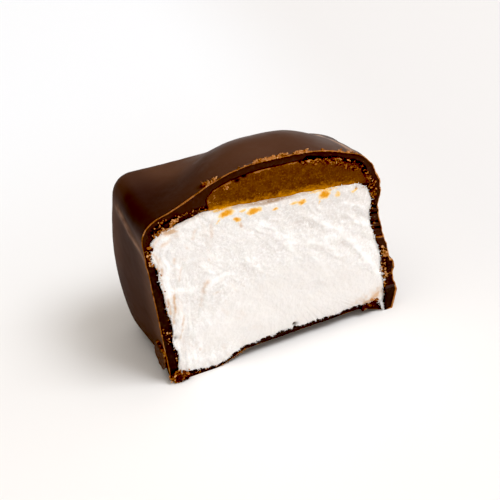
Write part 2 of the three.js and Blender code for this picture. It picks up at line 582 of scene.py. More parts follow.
class Recipe(Nodes):
    """Builds a node material round one shader."""

    def __init__(self, name: str) -> None:
        """Starts a material with its shader, its output and the coordinates of its noises."""
        self.material = bpy.data.materials.new(name)
        self.material.use_nodes = True
        super().__init__(self.material.node_tree)
        self.tree.nodes.clear()
        self.shader = self.tree.nodes.new("ShaderNodeBsdfPrincipled")
        output = self.tree.nodes.new("ShaderNodeOutputMaterial")
        self.tree.links.new(self.shader.outputs["BSDF"], output.inputs["Surface"])
        self.place = self.tree.nodes.new("ShaderNodeTexCoord").outputs["Object"]

    def layer(self, name: str) -> Socket:
        """Reads a number that is painted on the mesh."""
        node = self.tree.nodes.new("ShaderNodeAttribute")
        node.attribute_name = name
        return node.outputs["Fac"]

    def grain(
        self, size: float, detail: float = 3, rough: float = 0.5, stretch: Colour = (1, 1, 1)
    ) -> Socket:
        """Gives noise from 0 to 1.

        Args:
            size: Size of its features, in millimetres.
            detail: How many finer noises are added.
            rough: How strong the finer noises are.
            stretch: How much longer its features are along each axis.

        Returns:
            The noise's socket.
        """
        mapping = self.tree.nodes.new("ShaderNodeMapping")
        mapping.inputs["Scale"].default_value = [1 / (size * MM * along) for along in stretch]
        self.feed(mapping.inputs["Vector"], self.place)
        node = self.tree.nodes.new("ShaderNodeTexNoise")
        for name, value in (("Scale", 1), ("Detail", detail), ("Roughness", rough)):
            node.inputs[name].default_value = value
        self.feed(node.inputs["Vector"], mapping.outputs["Vector"])
        return node.outputs["Fac"]

    def mix(self, share: Value, first: Value, second: Value) -> Socket:
        """Goes from the first colour to the second as the share goes from 0 to 1."""
        node = self.tree.nodes.new("ShaderNodeMix")
        node.data_type = "RGBA"
        for socket, value in ((0, share), (6, first), (7, second)):
            self.feed(node.inputs[socket], value)
        return node.outputs[2]

    def bump(
        self, height: Socket, depth: float, strength: float = 1, below: Socket | None = None
    ) -> Socket:
        """Turns a height from 0 to 1 into a normal.

        Args:
            height: The height's socket.
            depth: What a height of 1 stands for, in millimetres.
            strength: How much of the bump is used.
            below: The normal of a coarser bump that this one lies on.

        Returns:
            The normal's socket.
        """
        node = self.tree.nodes.new("ShaderNodeBump")
        node.inputs["Strength"].default_value = strength
        node.inputs["Distance"].default_value = depth * MM
        self.feed(node.inputs["Height"], height)
        if below:
            self.feed(node.inputs["Normal"], below)
        return node.outputs["Normal"]

    def finish(self, **inputs: Value) -> Material:
        """Feeds the shader's sockets, named with underscores for spaces, and gives the material."""
        for name, value in inputs.items():
            self.feed(self.shader.inputs[name.replace("_", " ")], value)
        return self.material


@dataclass(frozen=True)
class ChocolateFinish:
    """Set dark chocolate: satin outside with painted sheen and painted highlights, nearly black where
    it is cut, with painted shade in its holes and gaps, tan where it has crumbled.
    """

    skin: Colour = (0.05, 0.0335, 0.0315)
    # A paler brown for the skin, used as painted sheen and painted highlights.
    skin_pale_and_sheen: Colour = (0.112, 0.064, 0.0485)
    # Colour of the painted highlights along the left crease and the hump's right flank.
    painted_highlight: Colour = (0.42, 0.245, 0.155)
    cut: Colour = (0.0305, 0.0215, 0.0205)
    # A paler colour for the cut towards its top and at the right wall.
    cut_pale: Colour = (0.048, 0.027, 0.0235)
    cut_light: Colour = (0.055, 0.031, 0.026)
    # Near black painted shade for crumbled holes and for the gaps over the strip and the caramel.
    pit_and_shadow: Colour = (0.009, 0.007, 0.007)
    crumb: Colour = (0.3, 0.112, 0.036)
    crumb_light: Colour = (0.56, 0.27, 0.115)

    def material(self) -> Material:
        """Makes the material, which reads the layers cut, crumb, rough and matt, the paler brown that
        carries painted sheen, and the painted highlights.
        """
        recipe = Recipe("dark chocolate")
        cut, crumb, rough = recipe.layer("cut"), recipe.layer("crumb"), recipe.layer("rough")
        cloud = recipe.between(recipe.grain(5, 3), 0.3, 0.75, -0.06, 0.06)
        # Painted sheen: the skin turns the paler brown where the layer says.
        pale_and_sheen_share = recipe.sum_up("ADD", recipe.layer("pale_and_sheen"), cloud)
        skin = recipe.mix(pale_and_sheen_share, self.skin, self.skin_pale_and_sheen)
        # Painted highlight: a pale colour laid along the crease and the flank.
        skin = recipe.mix(recipe.layer("painted_highlight"), skin, self.painted_highlight)
        fine = recipe.grain(0.35, 4, 0.65)
        # The cut turns paler towards its top and at the right wall.
        broken = recipe.mix(recipe.layer("pale_and_sheen"), self.cut, self.cut_pale)
        broken = recipe.mix(recipe.between(fine, 0.45, 0.8), broken, self.cut_light)
        # Painted shade: the holes of crumbled places and the gaps turn near black.
        holes = recipe.sum_up("MULTIPLY", rough, recipe.between(fine, 0.52, 0.4))
        broken = recipe.mix(holes, broken, self.pit_and_shadow)
        specks = recipe.between(recipe.grain(0.16, 3, 0.6), 0.35, 0.7)
        speck = recipe.mix(specks, self.crumb, self.crumb_light)
        broken_edge = recipe.sum_up("ADD", crumb, recipe.between(fine, 0, 1, -0.28, 0.28))
        ragged = recipe.between(broken_edge, 0.42, 0.6)
        colour = recipe.mix(ragged, recipe.mix(cut, skin, broken), speck)
        worn = recipe.sum_up("ADD", recipe.layer("matt"), recipe.grain(1.6, 4))
        gloss = recipe.between(worn, 0.3, 1.7, 0.44, 0.9)
        dull = recipe.mix(ragged, recipe.mix(cut, gloss, (0.6, 0.6, 0.6)), (0.85, 0.85, 0.85))
        wave = recipe.bump(recipe.grain(1.4, 3), 0.02, 0.5)
        chips = recipe.bump(fine, 0.12, 1.0, wave)
        pitted = recipe.mix(recipe.sum_up("MAXIMUM", rough, ragged), wave, chips)
        return recipe.finish(Base_Color=colour, Roughness=dull, Normal=pitted, IOR=1.32)


@dataclass(frozen=True)
class MarshmallowFinish:
    """Matt white foam with fine fibres, with painted shade in its hollows and painted light on its
    peaks, stained faintly where the knife dragged other foods.
    """

    foam: Colour = (0.785, 0.765, 0.752)
    # Painted shade for the hollows, the fibres and the parts under the caramel.
    shade: Colour = (0.7, 0.665, 0.645)
    # Painted light on the peaks of the fibres.
    peak_light: Colour = (0.925, 0.918, 0.918)
    # Colour of the stains, also used for painted shade and a painted shadow.
    stain_and_shade: Colour = (0.62, 0.4, 0.235)
    amber: Colour = (0.74, 0.34, 0.05)
    amber_pale: Colour = (0.9, 0.64, 0.3)
    # Dark colour for the nick and the spot, painted as shade, and for the painted shadow.
    pit_and_shadow: Colour = (0.06, 0.035, 0.03)

    def material(self) -> Material:
        """Makes the material, which reads the layers fluffy, hollow (painted shade), peak (painted
        light), stain (stains and painted shade), smear and pit (dark spots and painted shadow).
        """
        recipe = Recipe("marshmallow foam")
        fibres = recipe.grain(0.2, 4, 0.65, (1, 1, 1.5))
        # Painted shade in the hollows and on the fine fibres, and painted light on the peaks.
        colour = recipe.mix(recipe.layer("hollow"), self.foam, self.shade)
        colour = recipe.mix(recipe.layer("peak_light"), colour, self.peak_light)
        colour = recipe.mix(recipe.between(fibres, 0.54, 0.36, 0, 0.22), colour, self.shade)
        wool, fluffy = recipe.grain(0.3, 5, 0.72), recipe.layer("fluffy")
        light = recipe.sum_up("MULTIPLY", fluffy, recipe.between(wool, 0.46, 0.66, 0.05, 0.7))
        dim = recipe.sum_up("MULTIPLY", fluffy, recipe.between(wool, 0.44, 0.3, 0, 0.4))
        colour = recipe.mix(dim, recipe.mix(light, colour, self.peak_light), self.shade)
        # Stains and the painted shade and shadow share this colour.
        colour = recipe.mix(recipe.sum_up("MULTIPLY", recipe.layer("stain_and_shade"), 0.85), colour, self.stain_and_shade)
        blotches = recipe.between(recipe.grain(0.3, 4, 0.6), 0, 1, -0.3, 0.3)
        film = recipe.sum_up("ADD", recipe.layer("smear"), blotches)
        colour = recipe.mix(recipe.between(film, 0.2, 0.58), colour, self.amber_pale)
        colour = recipe.mix(recipe.between(film, 0.5, 0.95), colour, self.amber)
        # Painted shade in the nick and the spot, and painted shadow under the caramel.
        colour = recipe.mix(recipe.layer("pit_and_shadow"), colour, self.pit_and_shadow)
        rugged = recipe.bump(recipe.sum_up("MULTIPLY", fluffy, wool), 0.12, 0.8)
        normal = recipe.bump(fibres, 0.08, 0.7, rugged)
        return recipe.finish(
            Base_Color=colour,
            Roughness=0.9,
            Normal=normal,
            Subsurface_Weight=0.35,
            Subsurface_Radius=(1.0, 0.85, 0.7),
            Subsurface_Scale=0.3 * MM,
            Specular_IOR_Level=0.2,
        )


@dataclass(frozen=True)
class CaramelFinish:
    """Grainy set caramel: brown, amber where it thins out at its foot, with a lighter lip and painted
    shade in its gap and pits.
    """

    brown: Colour = (0.105, 0.038, 0.009)
    dull: Colour = (0.115, 0.044, 0.018)
    amber: Colour = (0.44, 0.17, 0.012)
    bright: Colour = (0.8, 0.42, 0.05)
    grain: Colour = (0.25, 0.1, 0.016)
    dark: Colour = (0.05, 0.016, 0.005)
    lip: Colour = (0.3, 0.125, 0.048)
    # Near black painted shade for the gap and the pits.
    hole_shade: Colour = (0.014, 0.006, 0.004)

    def material(self) -> Material:
        """Makes the material, which reads the layers foot, dusty, lip and the painted shade of the gap
        and pits.
        """
        recipe = Recipe("caramel")
        foot, dusty, void_shade = recipe.layer("foot"), recipe.layer("dusty"), recipe.layer("void_shade")
        fine = recipe.grain(0.2, 4, 0.7)
        colour = recipe.mix(dusty, self.brown, self.dull)
        colour = recipe.mix(recipe.between(fine, 0.52, 0.68, 0, 0.8), colour, self.grain)
        colour = recipe.mix(recipe.between(fine, 0.47, 0.3, 0, 0.6), colour, self.dark)
        cloudy = recipe.between(recipe.grain(0.9, 3), 0.4, 0.7, 0, 0.25)
        colour = recipe.mix(cloudy, colour, self.grain)
        spotty = recipe.between(recipe.grain(0.4, 4, 0.7), 0.3, 0.7, -0.2, 0.2)
        speckled = recipe.sum_up("ADD", foot, spotty)
        colour = recipe.mix(recipe.between(speckled, 0.34, 1.1), colour, self.amber)
        colour = recipe.mix(recipe.between(speckled, 0.9, 1.3), colour, self.bright)
        lip = recipe.sum_up("MULTIPLY", recipe.layer("lip"), fine)
        colour = recipe.mix(recipe.between(lip, 0.3, 0.5), colour, self.lip)
        # Painted shade in the gap and the pits.
        colour = recipe.mix(void_shade, colour, self.hole_shade)
        normal = recipe.bump(fine, 0.09, 0.8)
        return recipe.finish(Base_Color=colour, Roughness=0.55, Normal=normal, Specular_IOR_Level=0.25)


@dataclass(frozen=True)
class CrumbFinish:
    """Broken chocolate: from dark brown to pale tan by the layer shade."""

    dark: Colour = (0.045, 0.014, 0.006)
    tan: Colour = (0.33, 0.125, 0.038)
    pale: Colour = (0.6, 0.31, 0.14)

    def material(self) -> Material:
        """Makes the material, which reads the layer shade."""
        recipe = Recipe("broken chocolate")
        shade = recipe.layer("shade")
        fine = recipe.grain(0.12, 3, 0.6)
        mottled = recipe.sum_up("ADD", shade, recipe.between(fine, 0.2, 0.8, -0.22, 0.22))
        colour = recipe.mix(recipe.between(mottled, 0.1, 0.55), self.dark, self.tan)
        colour = recipe.mix(recipe.between(mottled, 0.6, 1.0), colour, self.pale)
        return recipe.finish(Base_Color=colour, Roughness=0.8, Normal=recipe.bump(fine, 0.05, 0.7))


@dataclass(frozen=True)
class TableFinish:
    """A matt white table top, with painted cooler light at the back and painted shade at the right."""

    white: Colour = (0.86, 0.852, 0.846)
    shade: Colour = (0.84, 0.831, 0.824)
    far: Colour = (0.865, 0.885, 0.915)
    right: Colour = (0.795, 0.79, 0.795)

    def material(self) -> Material:
        """Makes the material."""
        recipe = Recipe("white table")
        colour = recipe.mix(recipe.grain(30, 2), self.white, self.shade)
        # Painted light and shade: cooler towards the back, darker towards the right.
        for axis, low, high, tint in (("Y", 0.0, 0.07, self.far), ("X", 0.01, 0.035, self.right)):
            share = recipe.between(recipe.part(recipe.place, axis), low, high)
            colour = recipe.mix(share, colour, tint)
        return recipe.finish(Base_Color=colour, Roughness=0.9, Specular_IOR_Level=0.1)


# ---- Marks on a surface ----


def turned(across: Array, up: Array, tilt: float) -> tuple[Array, Array]:
    """Gives places along and across a line that is tilted up to the right by an angle in degrees."""
    cosine, sine = math.cos(math.radians(tilt)), math.sin(math.radians(tilt))
    return across * cosine + up * sine, up * cosine - across * sine


@dataclass(frozen=True)
class Ripple:
    """Noise over a surface: its height, the width and length of its features, and their lean."""

    height: float
    across: float
    up: float
    seed: int
    lean: float = 0.0
    octaves: int = 1

    def at(self, x: Array, z: Array) -> Array:
        """Gives the ripple's height at places on its surface."""
        points = plane(x, z, self.across, self.up, self.lean)
        return self.height * fractal(points, self.seed, self.octaves)


def ruffled(ripples: Iterable[Ripple], x: Array, z: Array) -> Array:
    """Adds up ripples."""
    return sum(ripple.at(x, z) for ripple in ripples)


def stirred(ripples: tuple[Ripple, Ripple], x: Array, z: Array) -> tuple[Array, Array]:
    """Shifts places on a surface, across by the first ripple and up by the second."""
    return x + ripples[0].at(x, z), z + ripples[1].at(x, z)


@dataclass(frozen=True)
class Hill:
    """A rise along one axis: its height, its middle, half its width and the steepness of its sides."""

    height: float
    middle: float
    reach: float
    power: float = 2

    def at(self, value: Array) -> Array:
        """Gives the hill's height at places along its axis."""
        return self.height * bell((value - self.middle) / self.reach, self.power)


@dataclass(frozen=True)
class Zone:
    """A stretch of the cut face with soft sides, each given by where it starts and where it ends.

    A side that is left out lies beyond the sweet.
    """

    left: Pair | None = None
    right: Pair | None = None
    foot: Pair | None = None
    top: Pair | None = None

    def at(self, x: Array, z: Array) -> Array:
        """Gives 1 inside the zone and 0 outside it."""
        inside = np.ones(np.shape(x))
        for value, rise, fall in ((x, self.left, self.right), (z, self.foot, self.top)):
            if rise:
                inside = inside * ramp(value, *rise)
            if fall:
                inside = inside * (1 - ramp(value, *fall))
        return inside


@dataclass(frozen=True)
class Stroke:
    """A smear, a pit or a bulge: its middle, half its length and width, its tilt and its strength."""

    x: float
    z: float
    length: float
    width: float
    tilt: float
    strength: float
    power: float = 3

    def at(self, x: Array, z: Array) -> Array:
        """Gives the stroke's strength at places on its surface."""
        u, v = turned(x - self.x, z - self.z, self.tilt)
        return self.strength * bell(np.hypot(u / self.length, v / self.width), self.power)


@dataclass(frozen=True)
class Trace:
    """A fold, furrow, stain or crease along points, with half its width and its strength."""

    points: tuple[Pair, ...]
    width: float
    strength: float = 1.0

    def at(self, across: Array, up: Array) -> Array:
        """Gives the trace's strength at places on its surface."""
        nearest = np.full(np.shape(across), np.inf)
        for (x, z), (x_end, z_end) in zip(self.points, self.points[1:]):
            run, rise = x_end - x, z_end - z
            share = np.clip(((across - x) * run + (up - z) * rise) / (run**2 + rise**2), 0, 1)
            away = np.hypot(across - x - share * run, up - z - share * rise)
            nearest = np.minimum(nearest, away)
        return self.strength * bell(nearest / self.width)


def strongest(marks: Iterable[Stroke | Trace], across: Array, up: Array) -> Array:
    """Gives the strength of the strongest mark at places on a surface."""
    return np.maximum.reduce([mark.at(across, up) for mark in marks])


# ---- The fillings ----


@dataclass(frozen=True)
class Back:
    """The rings of a filling behind its cut face: their depths, and how many turns close the back."""

    depths: tuple[float, ...]
    turns: int

    def rows(self, count: int) -> list[Row]:
        """Lists the rings from just behind the cut to near the back."""
        rows = [Row(depth, 0, count) for depth in self.depths]
        for turn in np.linspace(0, math.pi / 2, self.turns)[1:-1]:
            rows.append(Row(self.depths[-1], turn, thinned(count, math.cos(turn))))
        return rows


def filling_skin(
    rings: Rings, face_rows: int, relief: Callable[[Array, Array, Array], Array], back: Back
) -> Skin:
    """Makes the skin of a filling from the middle of its cut face, over the rim, to its back.

    Args:
        rings: The rings of the filling.
        face_rows: How many rings the cut face has.
        relief: How far the face stands behind the cut plane, by x, z and the share of the way out.
        back: The rings behind the cut face.

    Returns:
        The closed skin.
    """
    rim = rings.row(Row(0, 0, rings.fullest))
    centre = np.array([rings.middle[0], 0, rings.middle[1]])
    skin = Skin()
    for share in np.linspace(0, 1, face_rows):
        step = rings.fullest // thinned(rings.fullest, share)
        ring = blend(centre, rim[::step], share)[: 1 if share == 0 else None]
        ring[:, 1] = relief(ring[:, 0], ring[:, 2], np.full(len(ring), share))
        skin.add(ring)
    for ring in rings.inward(back.rows(rings.fullest // 4)):
        skin.add(ring)
    skin.add(rings.row(Row(back.depths[-1], math.pi / 2, rings.fullest))[:1])
    return skin


@dataclass
class Foam:
    """The block of marshmallow with the torn fibres of its cut face."""

    form: SweetForm
    place: Place
    fullest: int = 768
    middle: Pair = (0.0, 10.4)
    face_rows: int = 132
    back: Back = Back((0.15, 0.35, 0.7, 1.2, 2, 3.5, 5, 7), 14)
    pillow: float = 0.3
    tear: float = 0.16
    tears: tuple[Ripple, ...] = (Ripple(1, 3.4, 2.6, 47), Ripple(0.5, 1.5, 1.9, 48, 40))
    fibre: float = 0.15
    fuzz: Ripple = Ripple(0.025, 0.35, 0.35, 49, octaves=3)
    edge_depth: Pair = (0.5, 1)
    teeth: Ripple = Ripple(1, 0.32, 0.32, 41)
    tooth_heights: Pair = (0.11, 0.05)
    foot_teeth: Ripple = Ripple(0.11, 0.2, 0.2, 46)
    foot_teeth_zone: Zone = Zone(left=(-6, -3), top=(3.0, 4.0))
    waver: tuple[Ripple, ...] = (Ripple(0.1, 1.5, 1.5, 42), Ripple(0.05, 0.6, 0.6, 40))
    left_side: float = -10.0
    left_dents: tuple[Hill, ...] = (
        Hill(0.26, 7.7, 1.5, 4),
        Hill(-0.36, 17.4, 1.5, 4),
        Hill(0.36, 3.5, 1.1),
    )
    sag: Hill = Hill(0.42, -7.9, 2.1, 4)
    sag_top: Pair = (1.6, 2.6)
    corner_cut: float = 0.8
    corner: Zone = Zone(left=(11.0, 12.7), foot=(14.8, 17.8))
    lap: float = 0.32
    lap_zone: Zone = Zone(left=(-12.4, -10.9), right=(10.6, 11.6))
    lap_heights: Pair = (16.5, 18.4)
    fluff_line: Pair = (10.4, 0.05)
    fluff_soft: float = 1.6
    fluff_corner: Pair = (-6.5, -3)
    fluff_left: Pair = (-10.5, -8)
    bend: tuple[Ripple, Ripple] = (Ripple(0.45, 1.9, 1.9, 44), Ripple(0.45, 1.9, 1.9, 50))
    tearing: tuple[Ripple, Ripple] = (
        Ripple(0.3, 0.9, 0.9, 55, octaves=3),
        Ripple(0.3, 0.9, 0.9, 56, octaves=3),
    )
    blotting: tuple[Ripple, Ripple] = (
        Ripple(0.12, 0.45, 0.45, 57, octaves=3),
        Ripple(0.14, 0.45, 0.45, 58, octaves=3),
    )
    upright: Ripple = Ripple(0.65, 0.36, 1.7, 43, -6, 3)
    leaning: Ripple = Ripple(0.35, 0.42, 1.3, 53, 42, 3)
    wool: tuple[Ripple, ...] = (Ripple(0.5, 0.7, 0.8, 46, 30, 4), Ripple(0.3, 1.5, 1.8, 48, 35))
    calm: Ripple = Ripple(0.16, 0.5, 0.5, 49, octaves=3)
    fold_height: float = 0.6
    furrow_depth: float = 0.5
    dent: Stroke = Stroke(1.7, 2.2, 0.28, 0.28, 0, 0.5, 2)
    # The nick and the spot are painted dark as shade in a dent and a hollow.
    nick_shade: Stroke = Stroke(1.7, 2.2, 0.22, 0.275, 0, 1, 2)
    spot: Stroke = Stroke(-12.0, 6.0, 0.22, 0.22, 0, 0.7, 2)
    pink: Stroke = Stroke(-10.3, 19.75, 0.8, 0.34, 0, 1.8, 2)
    pink_breaks: Ripple = Ripple(1, 0.4, 0.3, 60)
    streaks: Ripple = Ripple(1, 0.35, 2.2, 51, -5, 3)
    streak_zone: Zone = Zone(foot=(3, 5), top=(12, 14), right=(-12.3, -8.9))
    clouds: Ripple = Ripple(0.7, 0.3, 0.45, 59)
    faint: Ripple = Ripple(1, 0.8, 1.5, 52, 20, 3)
    roof_waver: Ripple = Ripple(0.15, 1.2, 1.2, 54)
    roof_shade: Hill = Hill(0.9, 1.8, 4.6, 4)
    # Painted shadow under the foot of the caramel and under the strip.
    drop_shadow: Hill = Hill(1, 0.4, 4.2, 4)
    drop_shadow_breaks: Ripple = Ripple(0.4, 1.0, 0.6, 45)
    left_drop_shadow: Hill = Hill(0.4, -6.8, 2.6, 4)
    folds: tuple[Trace, ...] = (
        Trace(((-0.8, 17.0), (0.5, 15.9), (1.5, 14.8), (2.5, 13.6), (3.8, 12.9)), 0.6),
        Trace(((3.8, 12.9), (5.0, 12.7), (6.1, 12.2), (8.5, 12.3)), 0.6),
        Trace(((8.3, 12.3), (9.3, 11.1), (10.0, 9.8), (10.9, 8.3), (11.7, 6.8), (12.3, 5.4)), 0.5),
        Trace(((4.1, 16.7), (5.3, 15.8), (6.1, 15.2), (6.8, 14.1)), 0.45, 0.85),
        Trace(((6.8, 14.1), (7.8, 13.2), (8.7, 12.4)), 0.45, 0.85),
        Trace(((8.8, 16.3), (10.2, 15.8), (11.3, 14.9)), 0.25, 0.75),
        Trace(((9.2, 13.8), (10.5, 13.3), (11.6, 12.3)), 0.35, 0.8),
        Trace(((6.5, 11.2), (7.5, 10.2), (8.1, 9.6)), 0.4, 0.9),
        Trace(((4.5, 11.2), (5.2, 9.8), (5.6, 9.1)), 0.3, 0.6),
        Trace(((-1.1, 14.9), (0.1, 14.0)), 0.55, 0.6),
        Trace(((-11.3, 15.9), (-11.5, 14.8), (-11.8, 13.6), (-11.9, 12.3)), 0.55),
        Trace(((-10.3, 15.5), (-10.4, 14.0)), 0.4, 0.8),
        Trace(((-11.3, 12.3), (-10.4, 12.0), (-9.4, 11.4)), 0.35, 0.9),
        Trace(((-7.9, 14.4), (-7.0, 13.6), (-6.6, 12.9)), 0.3, 0.7),
        Trace(((-7.5, 11.3), (-6.8, 12.0), (-5.6, 12.1), (-4.8, 12.2), (-4.1, 11.1)), 0.4, 0.9),
        Trace(((-6.2, 10.4), (-5.4, 11.1)), 0.3, 0.6),
        Trace(((-2.6, 13.3), (-2.0, 12.0), (-1.6, 11.1)), 0.4, 0.8),
        Trace(((-4.4, 8.1), (-3.0, 7.1)), 0.5, 0.4),
        Trace(((-11.1, 2.7), (-9.5, 2.0), (-7.9, 1.8), (-6.8, 1.8), (-5.5, 1.6)), 0.6, 0.9),
        Trace(((-10.9, 10.7), (-11.1, 9.2), (-11.3, 7.7)), 0.25, 0.8),
        Trace(((-12.2, 5.2), (-12.1, 4.0)), 0.3, 0.7),
        Trace(((-4.4, 13.4), (-4.5, 12.2)), 0.35, 0.5),
    )
    furrows: tuple[Trace, ...] = (
        Trace(((7.8, 11.6), (8.2, 11.1), (9.0, 10.3)), 0.45),
        Trace(((7.7, 14.0), (8.5, 14.3), (9.7, 13.7)), 0.4, 0.7),
        Trace(((10.0, 15.0), (10.6, 14.2), (11.4, 13.3)), 0.45, 0.9),
        Trace(((3.5, 15.5), (4.6, 14.9), (5.9, 14.2)), 0.6, 0.8),
        Trace(((5.0, 11.7), (6.1, 10.7)), 0.4, 0.7),
        Trace(((10.7, 11.3), (11.4, 10.2)), 0.4, 0.7),
        Trace(((9.4, 9.6), (10.3, 8.1)), 0.3, 0.8),
        Trace(((-4.1, 10.9), (-3.3, 12.2), (-2.6, 11.4)), 0.5, 0.7),
        Trace(((-12.0, 6.2), (-11.9, 5.8)), 0.3, 0.9),
        Trace(((-10.4, 5.6), (-10.0, 4.2)), 0.35, 0.5),
        Trace(((9.6, 2.4), (10.8, 2.5), (12.0, 2.8)), 0.6, 0.6),
    )
    stains_and_corner_shade: tuple[Trace, ...] = (
        Trace(((-11.2, 11.7), (-11.3, 10.5), (-11.6, 9.0), (-11.9, 8.0)), 0.17),
        Trace(((-11.9, 11.4), (-11.9, 10.3), (-12.0, 9.2)), 0.16, 0.9),
        Trace(((-10.6, 8.6), (-11.0, 7.2), (-11.5, 5.6)), 0.13, 0.6),
        Trace(((-7.4, 12.1), (-8.0, 11.5), (-8.1, 11.0)), 0.24, 0.5),
        Trace(((-8.1, 11.0), (-8.3, 10.2), (-8.6, 9.3)), 0.22, 0.2),
        Trace(((-9.9, 14.8), (-10.2, 13.8), (-10.4, 13.1)), 0.14, 0.45),
        Trace(((-10.4, 16.3), (-10.5, 15.8)), 0.18, 0.6),
        Trace(((-11.9, 16.8), (-12.0, 14.5)), 0.16, 0.6),
        Trace(((-11.8, 18.1), (-10.8, 18.7), (-9.6, 19.0)), 0.25, 0.45),
        Trace(((-7.6, 19.1), (-8.1, 18.2)), 0.2, 0.4),
        Trace(((-9.0, 17.5), (-8.7, 17.0)), 0.18, 0.4),
        Trace(((-5.8, 19.3), (-6.1, 17.6)), 0.25, 0.3),
        Trace(((-6.7, 16.0), (-6.8, 14.9)), 0.2, 0.3),
        Trace(((-9.6, 3.5), (-9.3, 3.0)), 0.15, 0.4),
        Trace(((-7.0, 10.3), (-6.2, 10.4)), 0.15, 0.25),
        Trace(((-3.6, 10.3), (-3.5, 9.9)), 0.12, 0.4),
        Trace(((-2.8, 17.9), (-2.7, 17.6)), 0.2, 0.6),
        # The next two are painted shade in the lower right corner, next to the coat.
        Trace(((9.2, 1.9), (10.6, 2.3), (12.1, 2.8)), 0.75, 0.4),
        Trace(((10.0, 1.7), (11.2, 2.0), (12.3, 2.5)), 0.4, 1.0),
        Trace(((-12.3, 18.7), (-11.4, 19.5), (-10.4, 19.9), (-9.0, 20.4), (-7.5, 20.7)), 0.24, 0.5),
        Trace(((-12.35, 16.0), (-12.2, 13.0), (-12.15, 10.5)), 0.12, 0.5),
        Trace(((-12.4, 17.6), (-12.1, 16.0)), 0.16, 0.8),
    )
    smears: tuple[Stroke, ...] = (
        Stroke(-4.1, 19.75, 0.9, 0.42, 8, 1.0),
        Stroke(-3.0, 18.6, 0.5, 0.3, -30, 0.95),
        Stroke(-5.1, 19.1, 0.45, 0.2, 40, 0.5),
        Stroke(-1.1, 19.0, 0.95, 0.38, 0, 1.0),
        Stroke(-2.3, 19.5, 0.5, 0.2, 10, 0.6),
        Stroke(1.25, 18.5, 0.4, 0.22, 0, 0.8),
        Stroke(3.5, 18.3, 0.65, 0.18, -5, 0.65),
        Stroke(4.3, 18.15, 0.5, 0.32, 10, 0.95),
        Stroke(6.95, 18.15, 0.7, 0.52, 10, 1.0),
        Stroke(6.3, 17.4, 0.2, 0.4, -10, 0.45),
        Stroke(8.4, 17.7, 0.42, 0.42, 20, 0.62),
        Stroke(10.4, 17.4, 0.5, 0.2, 15, 0.6),
        Stroke(-4.4, 20.45, 1.2, 0.26, -4, 0.95),
        Stroke(6.8, 18.7, 2.2, 0.16, -9, 0.75),
    )

    def surface(self, points: Array) -> Array:
        """Gives the distance to the marshmallow.

        Its edge wavers and has small teeth. It laps over the foot of the caramel, bulges at the
        upper left, gives way to two thick stretches of the left wall and to the crumbled upper
        right corner, and sags where the base of the coat is thin.

        Args:
            points: One row for each point.

        Returns:
            One distance for each point.
        """
        x, y, z = points.T
        teeth = blend(*self.tooth_heights, ramp(z, 2.5, 4)) * self.teeth.at(x, z)
        teeth += self.foot_teeth.at(x, z) * self.foot_teeth_zone.at(x, z)
        roof = ramp(z, *self.lap_heights) * self.lap_at(x)
        left = (x < self.left_side) * sum(hill.at(z) for hill in self.left_dents)
        sag = self.sag.at(x) * (1 - ramp(z, *self.sag_top))
        corner = self.corner_cut * self.corner.at(x, z)
        edge = teeth + ruffled(self.waver, x, z) - roof + left + corner - sag
        return self.form.marshmallow(points) + edge * (1 - ramp(y, *self.edge_depth))

    def lap_at(self, x: Array) -> Array:
        """Gives how far the marshmallow laps up over the foot of the coat and the caramel."""
        return self.lap * self.lap_zone.at(x, x)

    def leaned(self, x: Array, z: Array) -> Array:
        """Gives places across the cut, along a line that leans to the left."""
        return x + 0.3 * (z - 10)

    def fibres(self, x: Array, z: Array) -> Array:
        """Gives the height of the fibres: fluffy above and at the lower left, smooth elsewhere."""
        bent, torn = stirred(self.bend, x, z), stirred(self.tearing, x, z)
        left = 1 - ramp(self.leaned(x, z), -9, -3.5)
        combed = blend(self.leaning.at(*bent), self.upright.at(*bent), left)
        fluff = 0.75 * (ruffled(self.wool, *bent) + combed)
        folds = self.fold_height * strongest(self.folds, *torn)
        furrows = self.furrow_depth * strongest(self.furrows, *torn)
        return blend(self.calm.at(x, z), fluff, self.fluffy_at(x, z)) + folds - furrows

    def fluffy_at(self, x: Array, z: Array) -> Array:
        """Tells the fluffy parts of the cut face, which are 1, from the smooth ones, which are 0."""
        line, curve = self.fluff_line
        upper = ramp(z - line + curve * (x - 1) ** 2, -self.fluff_soft, self.fluff_soft)
        corner = (1 - ramp(z - 0.1 * x, 3.2, 5)) * (1 - ramp(x, *self.fluff_corner))
        return np.maximum.reduce([upper, corner, 1 - ramp(x, *self.fluff_left)])

    def relief(self, x: Array, z: Array, share: Array) -> Array:
        """Gives how far the cut face stands behind the cut plane.

        Args:
            x: Places across the cut.
            z: Heights.
            share: 0 at the middle of the face and 1 at its rim.

        Returns:
            One depth for each point.
        """
        torn = self.tear * ruffled(self.tears, x, z) * (1 - 0.6 * share)
        lap = 0.5 * self.lap_at(x) * ramp(z + 0.16 * x, 17.5, 19)
        raised = self.pillow * (1 - share**6) + self.fibre * self.fibres(x, z) + lap
        return torn + self.fuzz.at(x, z) + self.dent.at(x, z) - raised

    def layers(self, x: Array, z: Array) -> dict[str, Array]:
        """Paints shade into the hollows, under the caramel and over the upper right, light onto the
        peaks, stains, painted shade in the lower right corner, a painted shadow under the caramel,
        smears of caramel and the two dark spots, which are painted shade.
        """
        fibres = self.fibres(x, z)
        ragged = stirred(self.blotting, x, z)
        blotted = strongest(self.stains_and_corner_shade, *ragged) * (0.75 + self.clouds.at(x, z))
        lit = (1 - ramp(self.leaned(x, z), -8, -3)) * ramp(z, 2, 5)
        streaks = self.streak_zone.at(x, z) * ramp(self.streaks.at(x, z), 0.12, 0.6)
        faint = ramp(self.faint.at(x, z), 0.25, 0.7) * ramp(-x, -2, 6)
        under = self.form.roof_at(x) + self.lap - z - self.roof_waver.at(x, z)
